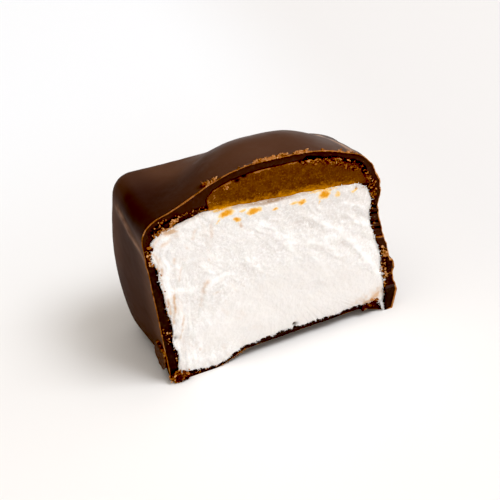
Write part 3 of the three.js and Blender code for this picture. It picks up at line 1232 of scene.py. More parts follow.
        # Painted shade: under the strip at the upper left, over the upper right, and under the
        # caramel's roof.
        shade = 0.3 * ramp(z + 0.16 * x, 17.0, 19.3) * ramp(x, -6, -4)
        shade += 0.5 * ramp(z, 11.5, 15.5) * ramp(x, -4, 3)
        shade += (1 - ramp(under, 0.1, 0.45)) * self.roof_shade.at(x)
        pink = self.pink.at(x, z) * ramp(self.pink_breaks.at(x, z), -0.5, 0.1)
        # Painted shadow under the caramel and the strip.
        drop_shadow = (1 - ramp(under, 0.12, 0.55)) * self.drop_shadow.at(x) * (0.8 + self.drop_shadow_breaks.at(x, z))
        drop_shadow = drop_shadow + (1 - ramp(under, 0, 0.5)) * self.left_drop_shadow.at(x)
        # hollow is painted shade and peak painted light, from the height of the fibres; lit makes the
        # lower left lighter.
        return {
            "fluffy": self.fluffy_at(x, z),
            "hollow": 0.75 * ramp(-fibres, 0, 0.9) * (1 - 0.5 * lit) + shade,
            "peak_light": 0.9 * ramp(fibres + 0.22 * lit, 0.05, 0.75),
            "stain_and_shade": np.maximum.reduce([0.3 * streaks, 0.1 * faint, pink, drop_shadow, blotted]),
            "smear": strongest(self.smears, *ragged),
            "pit_and_shadow": np.maximum.reduce([self.nick_shade.at(x, z), self.spot.at(x, z), 0.42 * drop_shadow]),
        }

    def build(self, finish: Material) -> Piece:
        """Makes the block from the middle of its cut face, over the rim, to its back."""
        rings = Rings(self.surface, self.middle, self.fullest)
        skin = filling_skin(rings, self.face_rows, self.relief, self.back)
        foam = skin_piece("foam_block", skin, self.place)
        points = np.concatenate(skin.points)
        paint(foam, self.layers(points[:, 0], points[:, 2]))
        return dress(foam, finish, Slot.MARSHMALLOW, "marshmallow")


@dataclass
class Caramel:
    """The pebble of caramel, with the gap above its right end sunk and painted dark as shade."""

    form: SweetForm
    place: Place
    fullest: int = 768
    height: float = 1.9
    face_rows: int = 56
    back: Back = Back((1.1, 1.6, 2.4, 3.6, 5.0), 10)
    pillow: float = 0.18
    grains: tuple[Ripple, ...] = (Ripple(0.035, 0.3, 0.3, 63, octaves=3), Ripple(0.05, 1.6, 0.9, 64))
    gap_from: Pair = (4.4, 5.4)
    gap_depth: float = 1.0
    gap_reach: Pair = (0.1, 0.22)
    gap_edges: tuple[Ripple, ...] = (Ripple(0.24, 1.1, 1.1, 61), Ripple(0.16, 0.4, 0.4, 62))
    edge: tuple[Ripple, ...] = (Ripple(0.25, 0.7, 0.7, 65), Ripple(0.12, 0.25, 0.25, 66))
    lip_breaks: Ripple = Ripple(1, 0.9, 0.9, 68)
    specks: Ripple = Ripple(1, 0.45, 0.45, 67, octaves=3)
    glow: Hill = Hill(0.07, 6.0, 3.5, 4)
    # Two dark spots between the caramel and the coat, painted as shade.
    shaded_pits: tuple[Stroke, ...] = (
        Stroke(-2.3, 23.2, 0.34, 0.22, 0, 1, 4),
        Stroke(-1.5, 23.45, 0.34, 0.22, 0, 1, 4),
    )

    def depth_at(self, x: Array, z: Array) -> Array:
        """Gives how far a place on the cut face lies inside the edge of the caramel."""
        return -self.form.caramel(np.stack([x, 0 * x, z], axis=1))

    def gap_at(self, x: Array, z: Array) -> Array:
        """Gives how far the caramel has sunk away from the coat, from 0 to 1."""
        reach = blend(*self.gap_reach, ramp(x, 8, 11)) + ruffled(self.gap_edges, x, z)
        upper = ramp(z - self.form.roof_at(x), 1.0, 1.6)
        sunk = 1 - ramp(self.depth_at(x, z), reach - 0.1, reach + 0.1)
        return sunk * ramp(x, *self.gap_from) * upper

    def relief(self, x: Array, z: Array, share: Array) -> Array:
        """Gives how far the cut face stands behind the cut plane at a share of the way out."""
        sunk = self.gap_depth * self.gap_at(x, z)
        return sunk + ruffled(self.grains, x, z) - self.pillow * (1 - share**4)

    def layers(self, x: Array, z: Array) -> dict[str, Array]:
        """Paints the amber foot, the dull end, and painted shade in the gap and the two pits."""
        height = z - self.form.roof_at(x)
        edge = ruffled(self.edge, x, z)
        lip = (1 - ramp(self.depth_at(x, z) + 0.4 * edge, 0.1, 0.24)) * ramp(height, 0.7, 1.3)
        lip = lip * (1 - ramp(x, 4, 5)) * ramp(self.lip_breaks.at(x, z), -0.8, -0.2)
        left_end = (1 - ramp(x, -4.6, -2.2)) * (height > 0.9)
        speck = 0.9 * ramp(self.specks.at(x, z), 0.3, 0.45) * left_end
        foot = (1 - ramp(height + 0.9 * edge, 0.0, 2.1)) * (1 - 0.75 * ramp(x, 9.5, 12))
        return {
            "foot": foot * (1 + self.glow.at(x)),
            "dusty": 1 - ramp(x + 0.8 * edge, -5.5, 0),
            "lip": np.maximum(lip, speck),
            "void_shade": np.maximum(self.gap_at(x, z), strongest(self.shaded_pits, x, z)),
        }

    def build(self, finish: Material) -> Piece:
        """Makes the pebble from the middle of its cut face, over the rim, to its back."""
        x = self.form.caramel_middle
        rings = Rings(self.form.caramel, (x, float(self.form.roof_at(x)) + self.height), self.fullest)
        skin = filling_skin(rings, self.face_rows, self.relief, self.back)
        pebble = skin_piece("caramel_pebble", skin, self.place)
        points = np.concatenate(skin.points)
        paint(pebble, self.layers(points[:, 0], points[:, 2]))
        return dress(pebble, finish, Slot.CARAMEL, "caramel")


# ---- The coat ----


@dataclass(frozen=True)
class Strip:
    """The crumbly strip between the smooth coat and the marshmallow at the upper left."""

    form: SweetForm
    along: Zone = Zone(left=(-12.4, -11.8), right=(-5.4, -4.8))
    waver: Ripple = Ripple(0.08, 0.8, 0.8, 36)
    lowest: float = -1.2
    thickness: float = 1.05
    thinning: float = 0.4
    thinning_range: Pair = (-8.5, -5.6)
    edge: float = 0.1
    gap_lift: float = 0.02
    gap_reach: float = 0.09
    openings: Ripple = Ripple(1, 0.9, 0.9, 37)
    opened: Pair = (0.05, 0.4)
    end_opening: Hill = Hill(1, -5.9, 0.5, 4)
    beads: Ripple = Ripple(1, 0.4, 0.3, 29)
    bead_shades: Pair = (0.26, 0.3)

    def above(self, x: Array, z: Array) -> Array:
        """Gives the height over the strip's top."""
        thick = self.thickness - self.thinning * ramp(x, *self.thinning_range)
        return self.over_roof(x, z) - thick

    def over_roof(self, x: Array, z: Array) -> Array:
        """Gives the height over the marshmallow, with a waver."""
        return z - self.form.roof_at(x) - self.waver.at(x, z)

    def at(self, x: Array, z: Array) -> Array:
        """Gives how far a place lies in the strip."""
        inside = self.along.at(x, z) * (1 - ramp(self.above(x, z), -self.edge, 0))
        return inside * (self.over_roof(x, z) > self.lowest)

    def gap_at(self, x: Array, z: Array) -> Array:
        """Gives how far a place lies in the broken gap over the strip."""
        holes = np.maximum(ramp(self.openings.at(x, z), *self.opened), self.end_opening.at(x))
        gap = bell((self.above(x, z) - self.gap_lift) / self.gap_reach, 3)
        return gap * self.along.at(x, z) * holes

    def beads_at(self, x: Array, z: Array) -> Array:
        """Gives how light the crumbs of the strip are."""
        low, rise = self.bead_shades
        return self.at(x, z) * (low + rise * ramp(self.beads.at(x, z), 0.0, 0.5))


@dataclass(frozen=True)
class Crescent:
    """The crescent where the coat has come away from the caramel's right end, sunk and painted black as
    shade.
    """

    ends: Pair = (4.9, 12.7)
    tips: Pair = (0.7, 0.8)
    lowest: float = 18.8
    width: float = 0.33
    ragged: tuple[Ripple, ...] = (Ripple(0.16, 0.8, 0.8, 27), Ripple(0.1, 0.3, 0.3, 28))
    bridge: Hill = Hill(0.7, 7.6, 0.5, 4)
    narrowing: float = 0.5
    narrowing_range: Pair = (8, 10)
    edge: Pair = (0.08, 0.02)
    shelf: Hill = Hill(0.6, 0.5, 0.06)
    shelf_breaks: Ripple = Ripple(1, 1.3, 1.3, 30)

    def at(self, x: Array, z: Array, share: Array) -> Array:
        """Gives how far a place of the rim lies in the crescent."""
        start, end = self.ends
        wide = self.width + ruffled(self.ragged, x, z)
        wide = wide * ramp(x, start, start + self.tips[0]) * (1 - ramp(x, end - self.tips[1], end))
        wide = wide * (1 - self.bridge.at(x)) * (z > self.lowest)
        wide = wide * (1 - self.narrowing * ramp(x, *self.narrowing_range))
        return 1 - ramp(share, wide - self.edge[0], wide + self.edge[1])

    def shelf_at(self, x: Array, z: Array, share: Array) -> Array:
        """Gives how light the thin shelf of chocolate is that hangs over the crescent."""
        over = (x > self.ends[0]) * (x < self.ends[1]) * (z > self.lowest)
        return self.shelf.at(share) * ramp(self.shelf_breaks.at(x, z), 0.0, 0.3) * over


@dataclass(frozen=True)
class Cracks:
    """The cracks that part the rim of the right wall into blocks."""

    heights: tuple[float, ...] = (14.3, 13.5, 12.35, 11.48, 10.26, 8.53)
    light: Hill = Hill(1, 10.26, 0.12)
    wall: Zone = Zone(left=(11.2, 11.8), foot=(8.2, 8.4), top=(15, 15.4))
    lean: float = 0.22
    pivot: float = 12.6
    jag: Ripple = Ripple(0.1, 0.5, 0.5, 25)
    reach: float = 0.1
    depth: float = 0.35
    step: float = 0.14
    step_seed: int = 26

    def level(self, x: Array, z: Array) -> Array:
        """Gives the height along the lean of the cracks."""
        return z + self.lean * (x - self.pivot)

    def relief(self, x: Array, z: Array) -> Array:
        """Gives how far the cracks and the blocks stand behind the cut plane."""
        level, jag = self.level(x, z), self.jag.at(x, z)
        grooves = sum(bell((level - crack - jag) / self.reach) for crack in self.heights)
        block = np.searchsorted(sorted(self.heights), level)[:, None]
        steps = self.step * lattice_draw(self.step_seed, block)
        return self.wall.at(x, z) * (self.depth * grooves - steps)

    def light_at(self, x: Array, z: Array) -> Array:
        """Gives the strength of the one crack that is filled with light crumbs."""
        return ramp(x, *self.wall.left) * self.light.at(self.level(x, z))


@dataclass(frozen=True)
class Rim:
    """The broken rim of the coat, from the fillings at share 0 to the outer edge at share 1."""

    form: SweetForm
    strip: Strip
    crescent: Crescent = Crescent()
    cracks: Cracks = Cracks()
    coarse: Ripple = Ripple(0.08, 1.3, 1.3, 21, octaves=3)
    crumb_size: float = 0.34
    crumb_depth: float = 0.36
    crumb_seed: int = 23
    patches: Ripple = Ripple(1, 0.9, 0.9, 31, octaves=3)
    inner_crumbs: float = 0.7
    inner_edge: Pair = (0.04, 0.22)
    caramel_from: float = -6.4
    caramel_to: Pair = (9.5, 11)
    right_crumbs: Zone = Zone(left=(11.2, 11.8), foot=(2.9, 3.3), top=(8.4, 8.7))
    shoulder_from: Pair = (11.4, 11.9)
    shoulder: Hill = Hill(0.5, 16, 2.2, 6)
    corner: Hill = Hill(1, -12.6, 1.2, 4)
    corner_top: Pair = (0.8, 1.5)
    tip: Hill = Hill(1, -11.6, 1.1, 4)
    tip_foot: Pair = (18.2, 18.8)
    chip: Zone = Zone(left=(12.42, 12.6), top=(2.88, 3.12))
    chip_stand: float = 0.34
    knob_from: Pair = (13.25, 13.4)
    knob: Hill = Hill(0.7, 6.1, 0.72, 8)
    base: Zone = Zone(left=(-13, -12.6), right=(12.6, 13.0))
    base_top: float = 2.2
    line_strength: float = 0.9
    line_breaks: Ripple = Ripple(0.3, 0.45, 0.45, 35)
    specks: Ripple = Ripple(1, 0.28, 0.28, 33, octaves=3)
    low_right: Hill = Hill(0.4, 6.2, 2.9, 6)

    def chip_at(self, x: Array, z: Array) -> Array:
        """Tells the smooth chip at the right foot, and the knob over it, from the rest."""
        return np.maximum(self.chip.at(x, z), ramp(x, *self.knob_from) * self.knob.at(z))

    def crumbled(self, x: Array, z: Array, share: Array) -> Array:
        """Gives how far the rim has crumbled, from 0 where it broke smooth to 1.

        Args:
            x: Places across the cut.
            z: Heights.
            share: 0 at the fillings and 1 at the outside.

        Returns:
            One number for each point.
        """
        patch = self.patches.at(x, z)
        over_caramel = (x > self.caramel_from) * ramp(z - self.form.roof_at(x), 0.3, 0.7)
        inner = self.inner_crumbs * (1 - ramp(share + 0.3 * patch, *self.inner_edge))
        inner = inner * (1 - 0.75 * over_caramel * (1 - ramp(x, *self.caramel_to)))
        right = 0.7 * self.right_crumbs.at(x, z)
        shoulder = ramp(x, *self.shoulder_from) * self.shoulder.at(z) * (1 - ramp(share, 0.45, 0.8))
        corner = self.corner.at(x) * (1 - ramp(z, *self.corner_top))
        tip = self.tip.at(x) * ramp(z, *self.tip_foot) * (1 - ramp(share, 0.6, 0.8))
        loose = np.maximum.reduce([right, shoulder, corner, tip, 0.16 * self.strip.at(x, z)])
        broken = np.clip(np.maximum(inner, loose * (0.75 + 0.5 * patch)), 0, 1)
        return broken * (1 - self.chip_at(x, z))

    def relief(self, x: Array, z: Array, share: Array) -> Array:
        """Gives how far the rim stands behind the cut plane at a share of the way out."""
        stones = pebbles(plane(x, z, self.crumb_size, self.crumb_size), self.crumb_seed)
        crumbs = self.crumb_depth * self.crumbled(x, z, share) * (0.5 - stones)
        gap = 0.5 * self.strip.gap_at(x, z) + 0.9 * self.crescent.at(x, z, share)
        stand = self.chip_stand * self.chip_at(x, z) + 0.05 * ramp(share, 0.94, 1)
        return self.coarse.at(x, z) + crumbs + self.cracks.relief(x, z) + gap - stand

    def line_at(self, x: Array, z: Array) -> Array:
        """Gives the strength of the pale line along the outer edge, partly the tan edge of the break
        and partly a painted rim highlight, weak at the left and below.
        """
        below = (z < self.base_top) * self.base.at(x, z)
        left_foot = 0.75 * (1 - ramp(x, -4.2, -3.0))
        left_wall = 0.72 * (x < -12) * (1 - ramp(z, 17, 19))
        elsewhere = np.where(left_wall > 0, left_wall, self.line_strength)
        return np.where(below > 0.5, left_foot, elsewhere) + self.line_breaks.at(x, z)

    def layers(self, x: Array, z: Array, share: Array) -> dict[str, Array]:
        """Paints the rim: painted shade in its holes and gaps, a pale outer line that is partly a
        painted rim highlight, and a paler cut towards the top and at the right wall.
        """
        rough, chip = self.crumbled(x, z, share), self.chip_at(x, z)
        low_right = ramp(x, 11.5, 12.5) * self.low_right.at(z)
        specks = ramp(self.specks.at(x, z) + low_right, 0.05, 0.45)
        # The outer line is partly the tan edge of the break and partly a painted rim highlight.
        edge = ramp(share, 0.965 - 0.06 * ramp(x, 12, 12.6), 0.995) * self.line_at(x, z)
        lip = 0.62 * (1 - ramp(share, 0.0, 0.05)) * (x < 1.5) * (x > -5.6) * (z > 20.4)
        crumb = np.maximum.reduce([
            0.85 * rough * specks,
            edge,
            self.cracks.light_at(x, z),
            lip * (0.8 + specks),
            # The chip's outer edge is painted light as a rim highlight.
            chip * (x > 13) * ramp(share, 0.82, 0.92),
            self.strip.beads_at(x, z),
            self.crescent.shelf_at(x, z, share),
        ])
        # The gaps over the strip and in the crescent go into the rough layer, which paints them dark as
        # shade.
        gap = np.maximum(self.strip.gap_at(x, z), 1.6 * self.crescent.at(x, z, share))
        pale = np.maximum(ramp(z, 14, 18), ramp(x, 11, 11.6) * (1 - chip))
        pitted = np.maximum(rough, gap)
        return {"cut": 1, "crumb": crumb, "rough": pitted, "matt": 0, "pale_and_sheen": pale, "painted_highlight": 0}


@dataclass
class Coat:
    """The coat of chocolate: outer skin, broken rim and the hollow that the fillings lie in."""

    form: SweetForm
    foam: Foam
    rim: Rim
    place: Place
    fullest: int = 1536
    middle: Pair = (0.0, 10.4)
    near_depths: tuple[float, ...] = (0.04, 0.08, 0.13, 0.18, 0.24, 0.3, 0.36, 0.43)
    far_depths: Pair = (0.5, 8.0)
    far_rows: int = 34
    turn_rows: int = 44
    turn_thinning: float = 1.3
    rim_rows: int = 18
    seam: float = 0.04
    waves: tuple[tuple[float, float, int], ...] = ((0.035, 3.1, 11), (0.012, 0.9, 12))
    wave_foot: Pair = (0.1, 1.5)
    left_wall: float = -10.0
    # The crease is a low ridge that also carries painted sheen and a painted highlight.
    crease: Trace = Trace(
        ((8.4, 18.8), (6.9, 18.6), (5.0, 18.0), (3.8, 17.6), (1.2, 17.2), (0.0, 16.4)), 0.56
    )
    crease_height: float = 0.09
    # Noise that breaks up the crease's painted highlight.
    crease_highlight_breaks: Ripple = Ripple(0.9, 0.8, 0.5, 15, octaves=3)
    # The flank carries a painted highlight along the hump's right side.
    flank: Trace = Trace(((10.2, 8.8), (10.15, 4.0), (10.6, 2.4), (10.9, 0.6)), 0.3, 0.75)
    right_wall: float = 12.0
    right_depth: Pair = (0.6, 1.6)
    right_ragged: Ripple = Ripple(0.07, 0.6, 0.6, 13)
    notches: tuple[Hill, ...] = (Hill(0.2, 4.25, 0.95, 6), Hill(0.1, 15.2, 0.5))
    full_shoulder: Stroke = Stroke(12.4, 20.8, 1.6, 2.2, 0, 0.24, 4)
    full_depth: Pair = (0.8, 2.5)
    bevel: Pair = (13.48, 0.33)
    # The saddle carries painted sheen.
    saddle: Stroke = Stroke(-5.4, 7.8, 3.4, 4.4, 0, 0.65, 2)
    crests: tuple[Hill, ...] = (
        Hill(0.26, -4.75, 0.35, 8),
        Hill(0.05, -1.5, 1.0, 8),
        Hill(0.42, 1.65, 1.85, 8),
        Hill(0.3, 5.0, 0.9, 8),
        Hill(0.2, 9.35, 0.25, 8),
        Hill(0.2, 10.3, 0.2, 8),
        Hill(0.2, 11.1, 0.2, 8),
    )
    crest_ragged: tuple[Ripple, ...] = (Ripple(0.5, 0.16, 0.2, 38), Ripple(0.4, 0.5, 0.3, 39))
    crest_depths: tuple[Pair, Pair] = ((0.0, 0.08), (0.16, 0.46))

    def outer(self, points: Array) -> Array:
        """Gives the distance to the outside with the faint unevenness of dipped chocolate."""
        x, y, z = points.T
        wave = sum(height * noise(points / size, seed) for height, size, seed in self.waves)
        streak = self.crease_height * self.crease.at(y, z) * (x < self.left_wall)
        near_cut = (x > self.right_wall) * (1 - ramp(y, *self.right_depth))
        ragged = self.right_ragged.at(x, z) * near_cut * ramp(z, 0.3, 1)
        notch = near_cut * sum(hill.at(z) for hill in self.notches)
        full = self.full_shoulder.at(x, z) * (1 - ramp(y, *self.full_depth))
        wave = wave * ramp(z, *self.wave_foot)
        body = self.form.outside(points) + wave - streak + ragged + notch - full
        start, slope = self.bevel
        bevelled = np.maximum(body, (x - start - slope * z) / math.hypot(1, slope))
        return np.where(near_cut > 0, bevelled, body)

    def fillings(self, points: Array) -> Array:
        """Gives the distance to the marshmallow and the caramel together."""
        return np.minimum(self.foam.surface(points), self.form.caramel(points))

    def skin_rows(self, half: int) -> list[Row]:
        """Lists the rings of a skin from just behind the cut to near the back."""
        rows = [Row(depth, 0, self.fullest) for depth in self.near_depths]
        rows += [Row(depth, 0, half) for depth in np.linspace(*self.far_depths, self.far_rows)]
        for turn in np.linspace(0, math.pi / 2, self.turn_rows)[1:-1]:
            count = thinned(half, math.cos(turn) ** self.turn_thinning)
            rows.append(Row(self.far_depths[1], turn, count))
        return rows

    def pale_and_sheen_at(self, points: Array) -> Array:
        """Gives how far the skin is painted a paler brown as sheen and highlights: on the hump and
        towards the back, on the saddle, on the left wall near the rim and at its back, and along the
        crease.
        """
        x, y, z = points.T
        on_top, on_left = ramp(z, 18.6, 20.2), x < self.left_wall
        back = 0.95 * ramp(y, 5.5, 11) * (0.55 + 0.45 * ramp(x, -11, -8)) + self.saddle.at(x, y)
        top = on_top * np.maximum(0.8 * self.form.hump_at(x, y), back)
        near_rim = on_left * (1 - 0.75 * ramp(y, 0.5, 4)) * ramp(z, 0.5, 2.5)
        wall = np.maximum(0.9 * ramp(y, 5, 11) * ramp(z, 6, 14), near_rim)
        return np.maximum(blend(wall, top, on_top), 1.2 * self.crease.at(y, z) * on_left)

    def highlight_at(self, points: Array) -> Array:
        """Gives how far the skin is painted with a pale highlight along the left crease and the hump's
        right flank.
        """
        x, y, z = points.T
        broken_up = np.clip(0.5 + self.crease_highlight_breaks.at(y, z), 0, 1)
        crease = 0.5 * self.crease.at(y, z) * (x < self.left_wall) * broken_up
        return np.maximum(crease, self.flank.at(x, y) * (z > 18))

    def crest_at(self, points: Array) -> Array:
        """Gives how high the flakes stand that the knife has pushed up along the rim's top edge."""
        x, y, z = points.T
        rise, fall = self.crest_depths
        ragged = np.clip(0.62 + ruffled(self.crest_ragged, x, y), 0, 1.3)
        total = sum(crest.at(x) for crest in self.crests)
        return total * ragged * ramp(y, *rise) * (1 - ramp(y, *fall)) * (z > 17)

    def skin_layers(self, ring: Array, crest: Array, reached: float) -> dict[str, Array]:
        """Paints one ring of the outer skin.

        Args:
            ring: The ring's points.
            crest: How high each point has been pushed up.
            reached: How far the ring lies behind the cut.

        Returns:
            One number for each point in each layer.
        """
        x, z = ring[:, 0], ring[:, 2]
        reach = blend(0.05, 0.1, ramp(x, -1, 0))
        # The pale outer line runs onto the skin just behind the cut, partly as a painted rim highlight.
        edge_line = 0.8 * (1 - ramp(reached, 0.02, reach)) * self.rim.line_at(x, z)
        return {
            "cut": 0,
            "crumb": np.maximum(edge_line, 0.75 * ramp(crest, 0.02, 0.1)),
            "rough": 0,
            "matt": np.maximum(1 - ramp(z, 18, 20), 0.7 * (1 - ramp(x, -7, -1))),
            "pale_and_sheen": self.pale_and_sheen_at(ring),
            "painted_highlight": self.highlight_at(ring),
        }

    def build(self, finish: Material) -> Piece:
        """Makes the coat from the back of its hollow, over its rim, to its back wall."""
        outside = Rings(self.outer, self.middle, self.fullest)
        inside = Rings(self.fillings, self.middle, self.fullest, self.seam)
        inside.angles = outside.angles
        skin, painted = Skin(), []

        def add(points: Array, layers: dict[str, Array | float]) -> None:
            """Adds a ring and the numbers painted on it."""
            skin.add(points)
            spread = {name: np.broadcast_to(value, len(points)) for name, value in layers.items()}
            painted.append(spread)

        hidden = {"cut": 1, "crumb": 0, "rough": 0, "matt": 0, "pale_and_sheen": 0, "painted_highlight": 0}
        back = self.form.wall_depth + self.form.back_bulge
        add(np.array([[self.middle[0], back - self.form.coat_side, self.middle[1]]]), hidden)
        for ring in reversed(inside.inward(self.skin_rows(self.fullest // 4))):
            add(ring, hidden)
        rims = inside.row(Row(0, 0, self.fullest)), outside.row(Row(0, 0, self.fullest))
        for share in np.linspace(0, 1, self.rim_rows):
            ring = blend(*rims, share)
            shares = np.full(len(ring), share)
            x, z = ring[:, 0], ring[:, 2]
            ring[:, 1] = self.rim.relief(x, z, shares)
            add(ring, self.rim.layers(x, z, shares))
        rows = self.skin_rows(self.fullest // 2)
        for row, ring in zip(rows, outside.inward(rows)):
            crest = self.crest_at(ring)
            ring[:, 2] += crest
            add(ring, self.skin_layers(ring, crest, row.depth + row.turn))
        pole = {**hidden, "cut": 0, "matt": 1}
        add(np.array([[self.middle[0], back, self.middle[1]]]), pole)
        coat = skin_piece("coat", skin, self.place)
        paint(coat, {name: np.concatenate([part[name] for part in painted]) for name in hidden})
        return dress(coat, finish, Slot.CHOCOLATE, "chocolate_coat")


# ---- What the knife leaves ----


def tumble(draw: np.random.Generator) -> Array:
    """Draws a turn in any direction, as a matrix."""
    return np.array(Matrix.Rotation(draw.random() * TURN, 3, Vector(draw.normal(size=3))))


def strand(path: Array, aside: Array, lift: Array) -> Array:
    """Gives the points of a four-sided strand, four to a step.

    Args:
        path: The middle of its lower side, one row for each step.
        aside: The way from the middle to its edge, one row for each step.
        lift: Its thickness, as a direction.

    Returns:
        The points.
    """
    corners = (path - aside, path + aside, path + aside + lift, path - aside + lift)
    return np.stack(corners, axis=1).reshape(-1, 3)


def strand_faces(steps: int) -> Array:
    """Gives the faces of a four-sided strand whose points come four to a step."""
    faces = []
    for step in range(steps - 1):
        for side in range(4):
            here, there = 4 * step + side, 4 * step + (side + 1) % 4
            faces.append([here, there, there + 4, here + 4])
    last = 4 * (steps - 1)
    return np.array([*faces, [3, 2, 1, 0], [last, last + 1, last + 2, last + 3]])


@dataclass
class RimBurr:
    """The thin ragged burr of lighter chocolate along the outer edge of the cut, partly a painted rim
    highlight.
    """

    coat: Coat
    width: float = 0.1
    height: float = 0.08
    ragged: tuple[Ripple, ...] = (Ripple(0.75, 0.3, 0.3, 71), Ripple(0.5, 0.13, 0.13, 72))
    size_range: Pair = (0.15, 2.2)
    plain: float = 0.4
    hump: Zone = Zone(left=(-1, 0.5), right=(9, 11), foot=(17, 21))
    base: Zone = Zone(left=(-3.5, -2), right=(11.8, 12.4), top=(2, 2.4))
    shade: float = 0.55
    shading: Ripple = Ripple(0.3, 0.6, 0.6, 73)

    def strength_at(self, x: Array, z: Array) -> Array:
        """Gives how large the burr is: large on the hump and the right wall, small at the base."""
        strong = self.plain + 0.6 * self.hump.at(x, z)
        strong += 0.3 * ramp(x, 12, 13) + 0.3 * ramp(x, 13, 13.4) * (z < 9)
        return strong * (1 - 0.8 * self.base.at(x, z))

    def section(self, outline: Array) -> Array:
        """Gives the corners of the burr, one side of it after the other."""
        x, z = outline[:, 0], outline[:, 2]
        along = np.roll(outline, -1, axis=0) - np.roll(outline, 1, axis=0)
        outward = np.stack([along[:, 2], 0 * x, -along[:, 0]], axis=1)
        outward /= np.linalg.norm(outward, axis=1)[:, None]
        size = np.clip(1 + ruffled(self.ragged, x, z), *self.size_range) * self.strength_at(x, z)
        toward = np.array([0, -1.0, 0])
        width, height = (self.width * size)[:, None], (self.height * size)[:, None]
        points = np.concatenate([
            outline + outward * 0.01 - toward * (0.03 + 0.8 * width),
            outline + outward * (0.05 + 0.6 * height) - toward * 0.02,
            outline + toward * height,
            outline - outward * width - toward * 0.1,
        ])
        points[:, 2] = np.maximum(points[:, 2], 0)
        return points

    def build(self, finish: Material) -> Piece:
        """Sweeps a ragged four-sided section round the rim."""
        rings = Rings(self.coat.outer, self.coat.middle, self.coat.fullest)
        outline = rings.row(Row(0, 0, rings.fullest))
        start = np.arange(len(outline))
        faces = []
        for side in range(4):
            here, there = start + side * len(start), start + (side + 1) % 4 * len(start)
            faces += np.stack([here, np.roll(here, -1), np.roll(there, -1), there], axis=1).tolist()
        burr = make_piece("rim_burr", self.section(outline), faces, self.coat.place)
        x, z = outline[:, 0], outline[:, 2]
        # The burr is painted lighter towards the right as a rim highlight.
        shade = self.shade + self.shading.at(x, z) + 0.3 * ramp(x, 11, 12.5)
        paint(burr, {"shade": np.tile(shade, 4)})
        return dress(burr, finish, Slot.CHOCOLATE)


@dataclass
class FootFlake:
    """The flake of coat that has broken away at the foot of the left wall, over a hollow."""

    coat: Coat
    middle: Pair = (1.5, 3.0)
    reach: Pair = (1.4, 1.65)
    lean: float = -8.0
    stand: float = 0.58
    thickness: float = 0.3
    rings: int = 22
    spokes: int = 96
    squareness: int = 3
    lowest: float = 0.12
    wall_foot: float = 1.2
    bumps: tuple[Ripple, ...] = (
        Ripple(0.05, 1 / 3, 1 / 3, 103, octaves=3),
        Ripple(0.05, 1 / 9, 1 / 9, 104),
    )

    def sheet(self, share: float, lift: Callable[[Array, Array], Array]) -> Array:
        """Gives one ring of points over the wall.

        Args:
            share: 0 at the flake's middle and 1 at its edge.
            lift: How far a point stands out from the wall, by its place along and up the flake.

        Returns:
            The ring's points.
        """
        angles = np.arange(self.spokes) / self.spokes * TURN
        circle = np.stack([np.cos(angles), np.sin(angles)], axis=1)
        power = self.squareness
        square = np.sum(np.abs(circle) ** power, axis=1) ** (-1 / power)
        ragged = square * (1 + 0.16 * noise(circle * 1.6, 101) + 0.09 * noise(circle * 6, 102))
        u, v = share * ragged * circle[:, 0], share * ragged * circle[:, 1]
        along, up = turned(self.reach[0] * u, self.reach[1] * v, self.lean)
        y, z = self.middle[0] + along, np.maximum(self.middle[1] + up, self.lowest)
        start = np.stack([np.full(self.spokes, -8.0), y, np.maximum(z, self.wall_foot)], axis=1)
        leftward = np.tile([-1.0, 0, 0], (self.spokes, 1))
        wall = reach_surface(self.coat.form.outside, start, leftward, 0.0)
        ring = np.stack([wall[:, 0] - lift(u, v), y, z], axis=1)
        return ring[:1] if share == 0 else ring

    def outer_lift(self, u: Array, v: Array) -> Array:
        """Gives how far the outer face stands out from the wall."""
        lift = self.stand * (0.75 + 0.25 * ramp(-v, -0.6, 0.8))
        return lift + ruffled(self.bumps, u, v) - 0.16 * ramp(np.hypot(u, v), 0.75, 1.1)

    def inner_lift(self, u: Array, v: Array) -> Array:
        """Gives how far the inner face stands out from the wall."""
        thick = self.thickness * (0.5 + 0.5 * ramp(v, -0.9, 0.3)) + 0.25 * ramp(v, -0.2, 0.6)
        return self.outer_lift(u, v) - thick

    def build(self, finish: Material) -> Piece:
        """Makes the flake as a closed shell from its outer face, round its edge, to its inner face."""
        skin, edge = Skin(), []
        shares = np.linspace(0, 1, self.rings)
        for share in shares:
            skin.add(self.sheet(share, self.outer_lift))
            edge.append(np.full(1 if share == 0 else self.spokes, share))
        for share in shares[::-1]:
            skin.add(self.sheet(share, self.inner_lift))
            edge.append(np.full(1 if share == 0 else self.spokes, 1.0))
        flake = skin_piece("foot_flake", skin, self.coat.place)
        points, edge = np.concatenate(skin.points), np.concatenate(edge)
        broken = np.maximum(ramp(points[:, 2], 3.4, 4.4), ramp(points[:, 1], 2.0, 2.7))
        worn = ramp(edge, 0.8, 0.98) * broken
        crumb = 0.7 * worn * ramp(fractal(points / 0.22, 105), -0.1, 0.3) + 0.4 * ramp(edge, 0.93, 1)
        layers = {"cut": 0, "crumb": crumb, "rough": 0.6 * worn, "matt": 1, "pale_and_sheen": 0.6, "painted_highlight": 0.03}
        paint(flake, layers)
        return dress(flake, finish, Slot.CHOCOLATE)


@dataclass(frozen=True)
class Patch:
    """A stretch of the cut face with crumbs on it, given by the two ends of its line."""

    start: Pair
    end: Pair
    spread: float
    count: int
    sizes: Pair
    shade: float
    depth: Pair = (-0.08, 0.05)


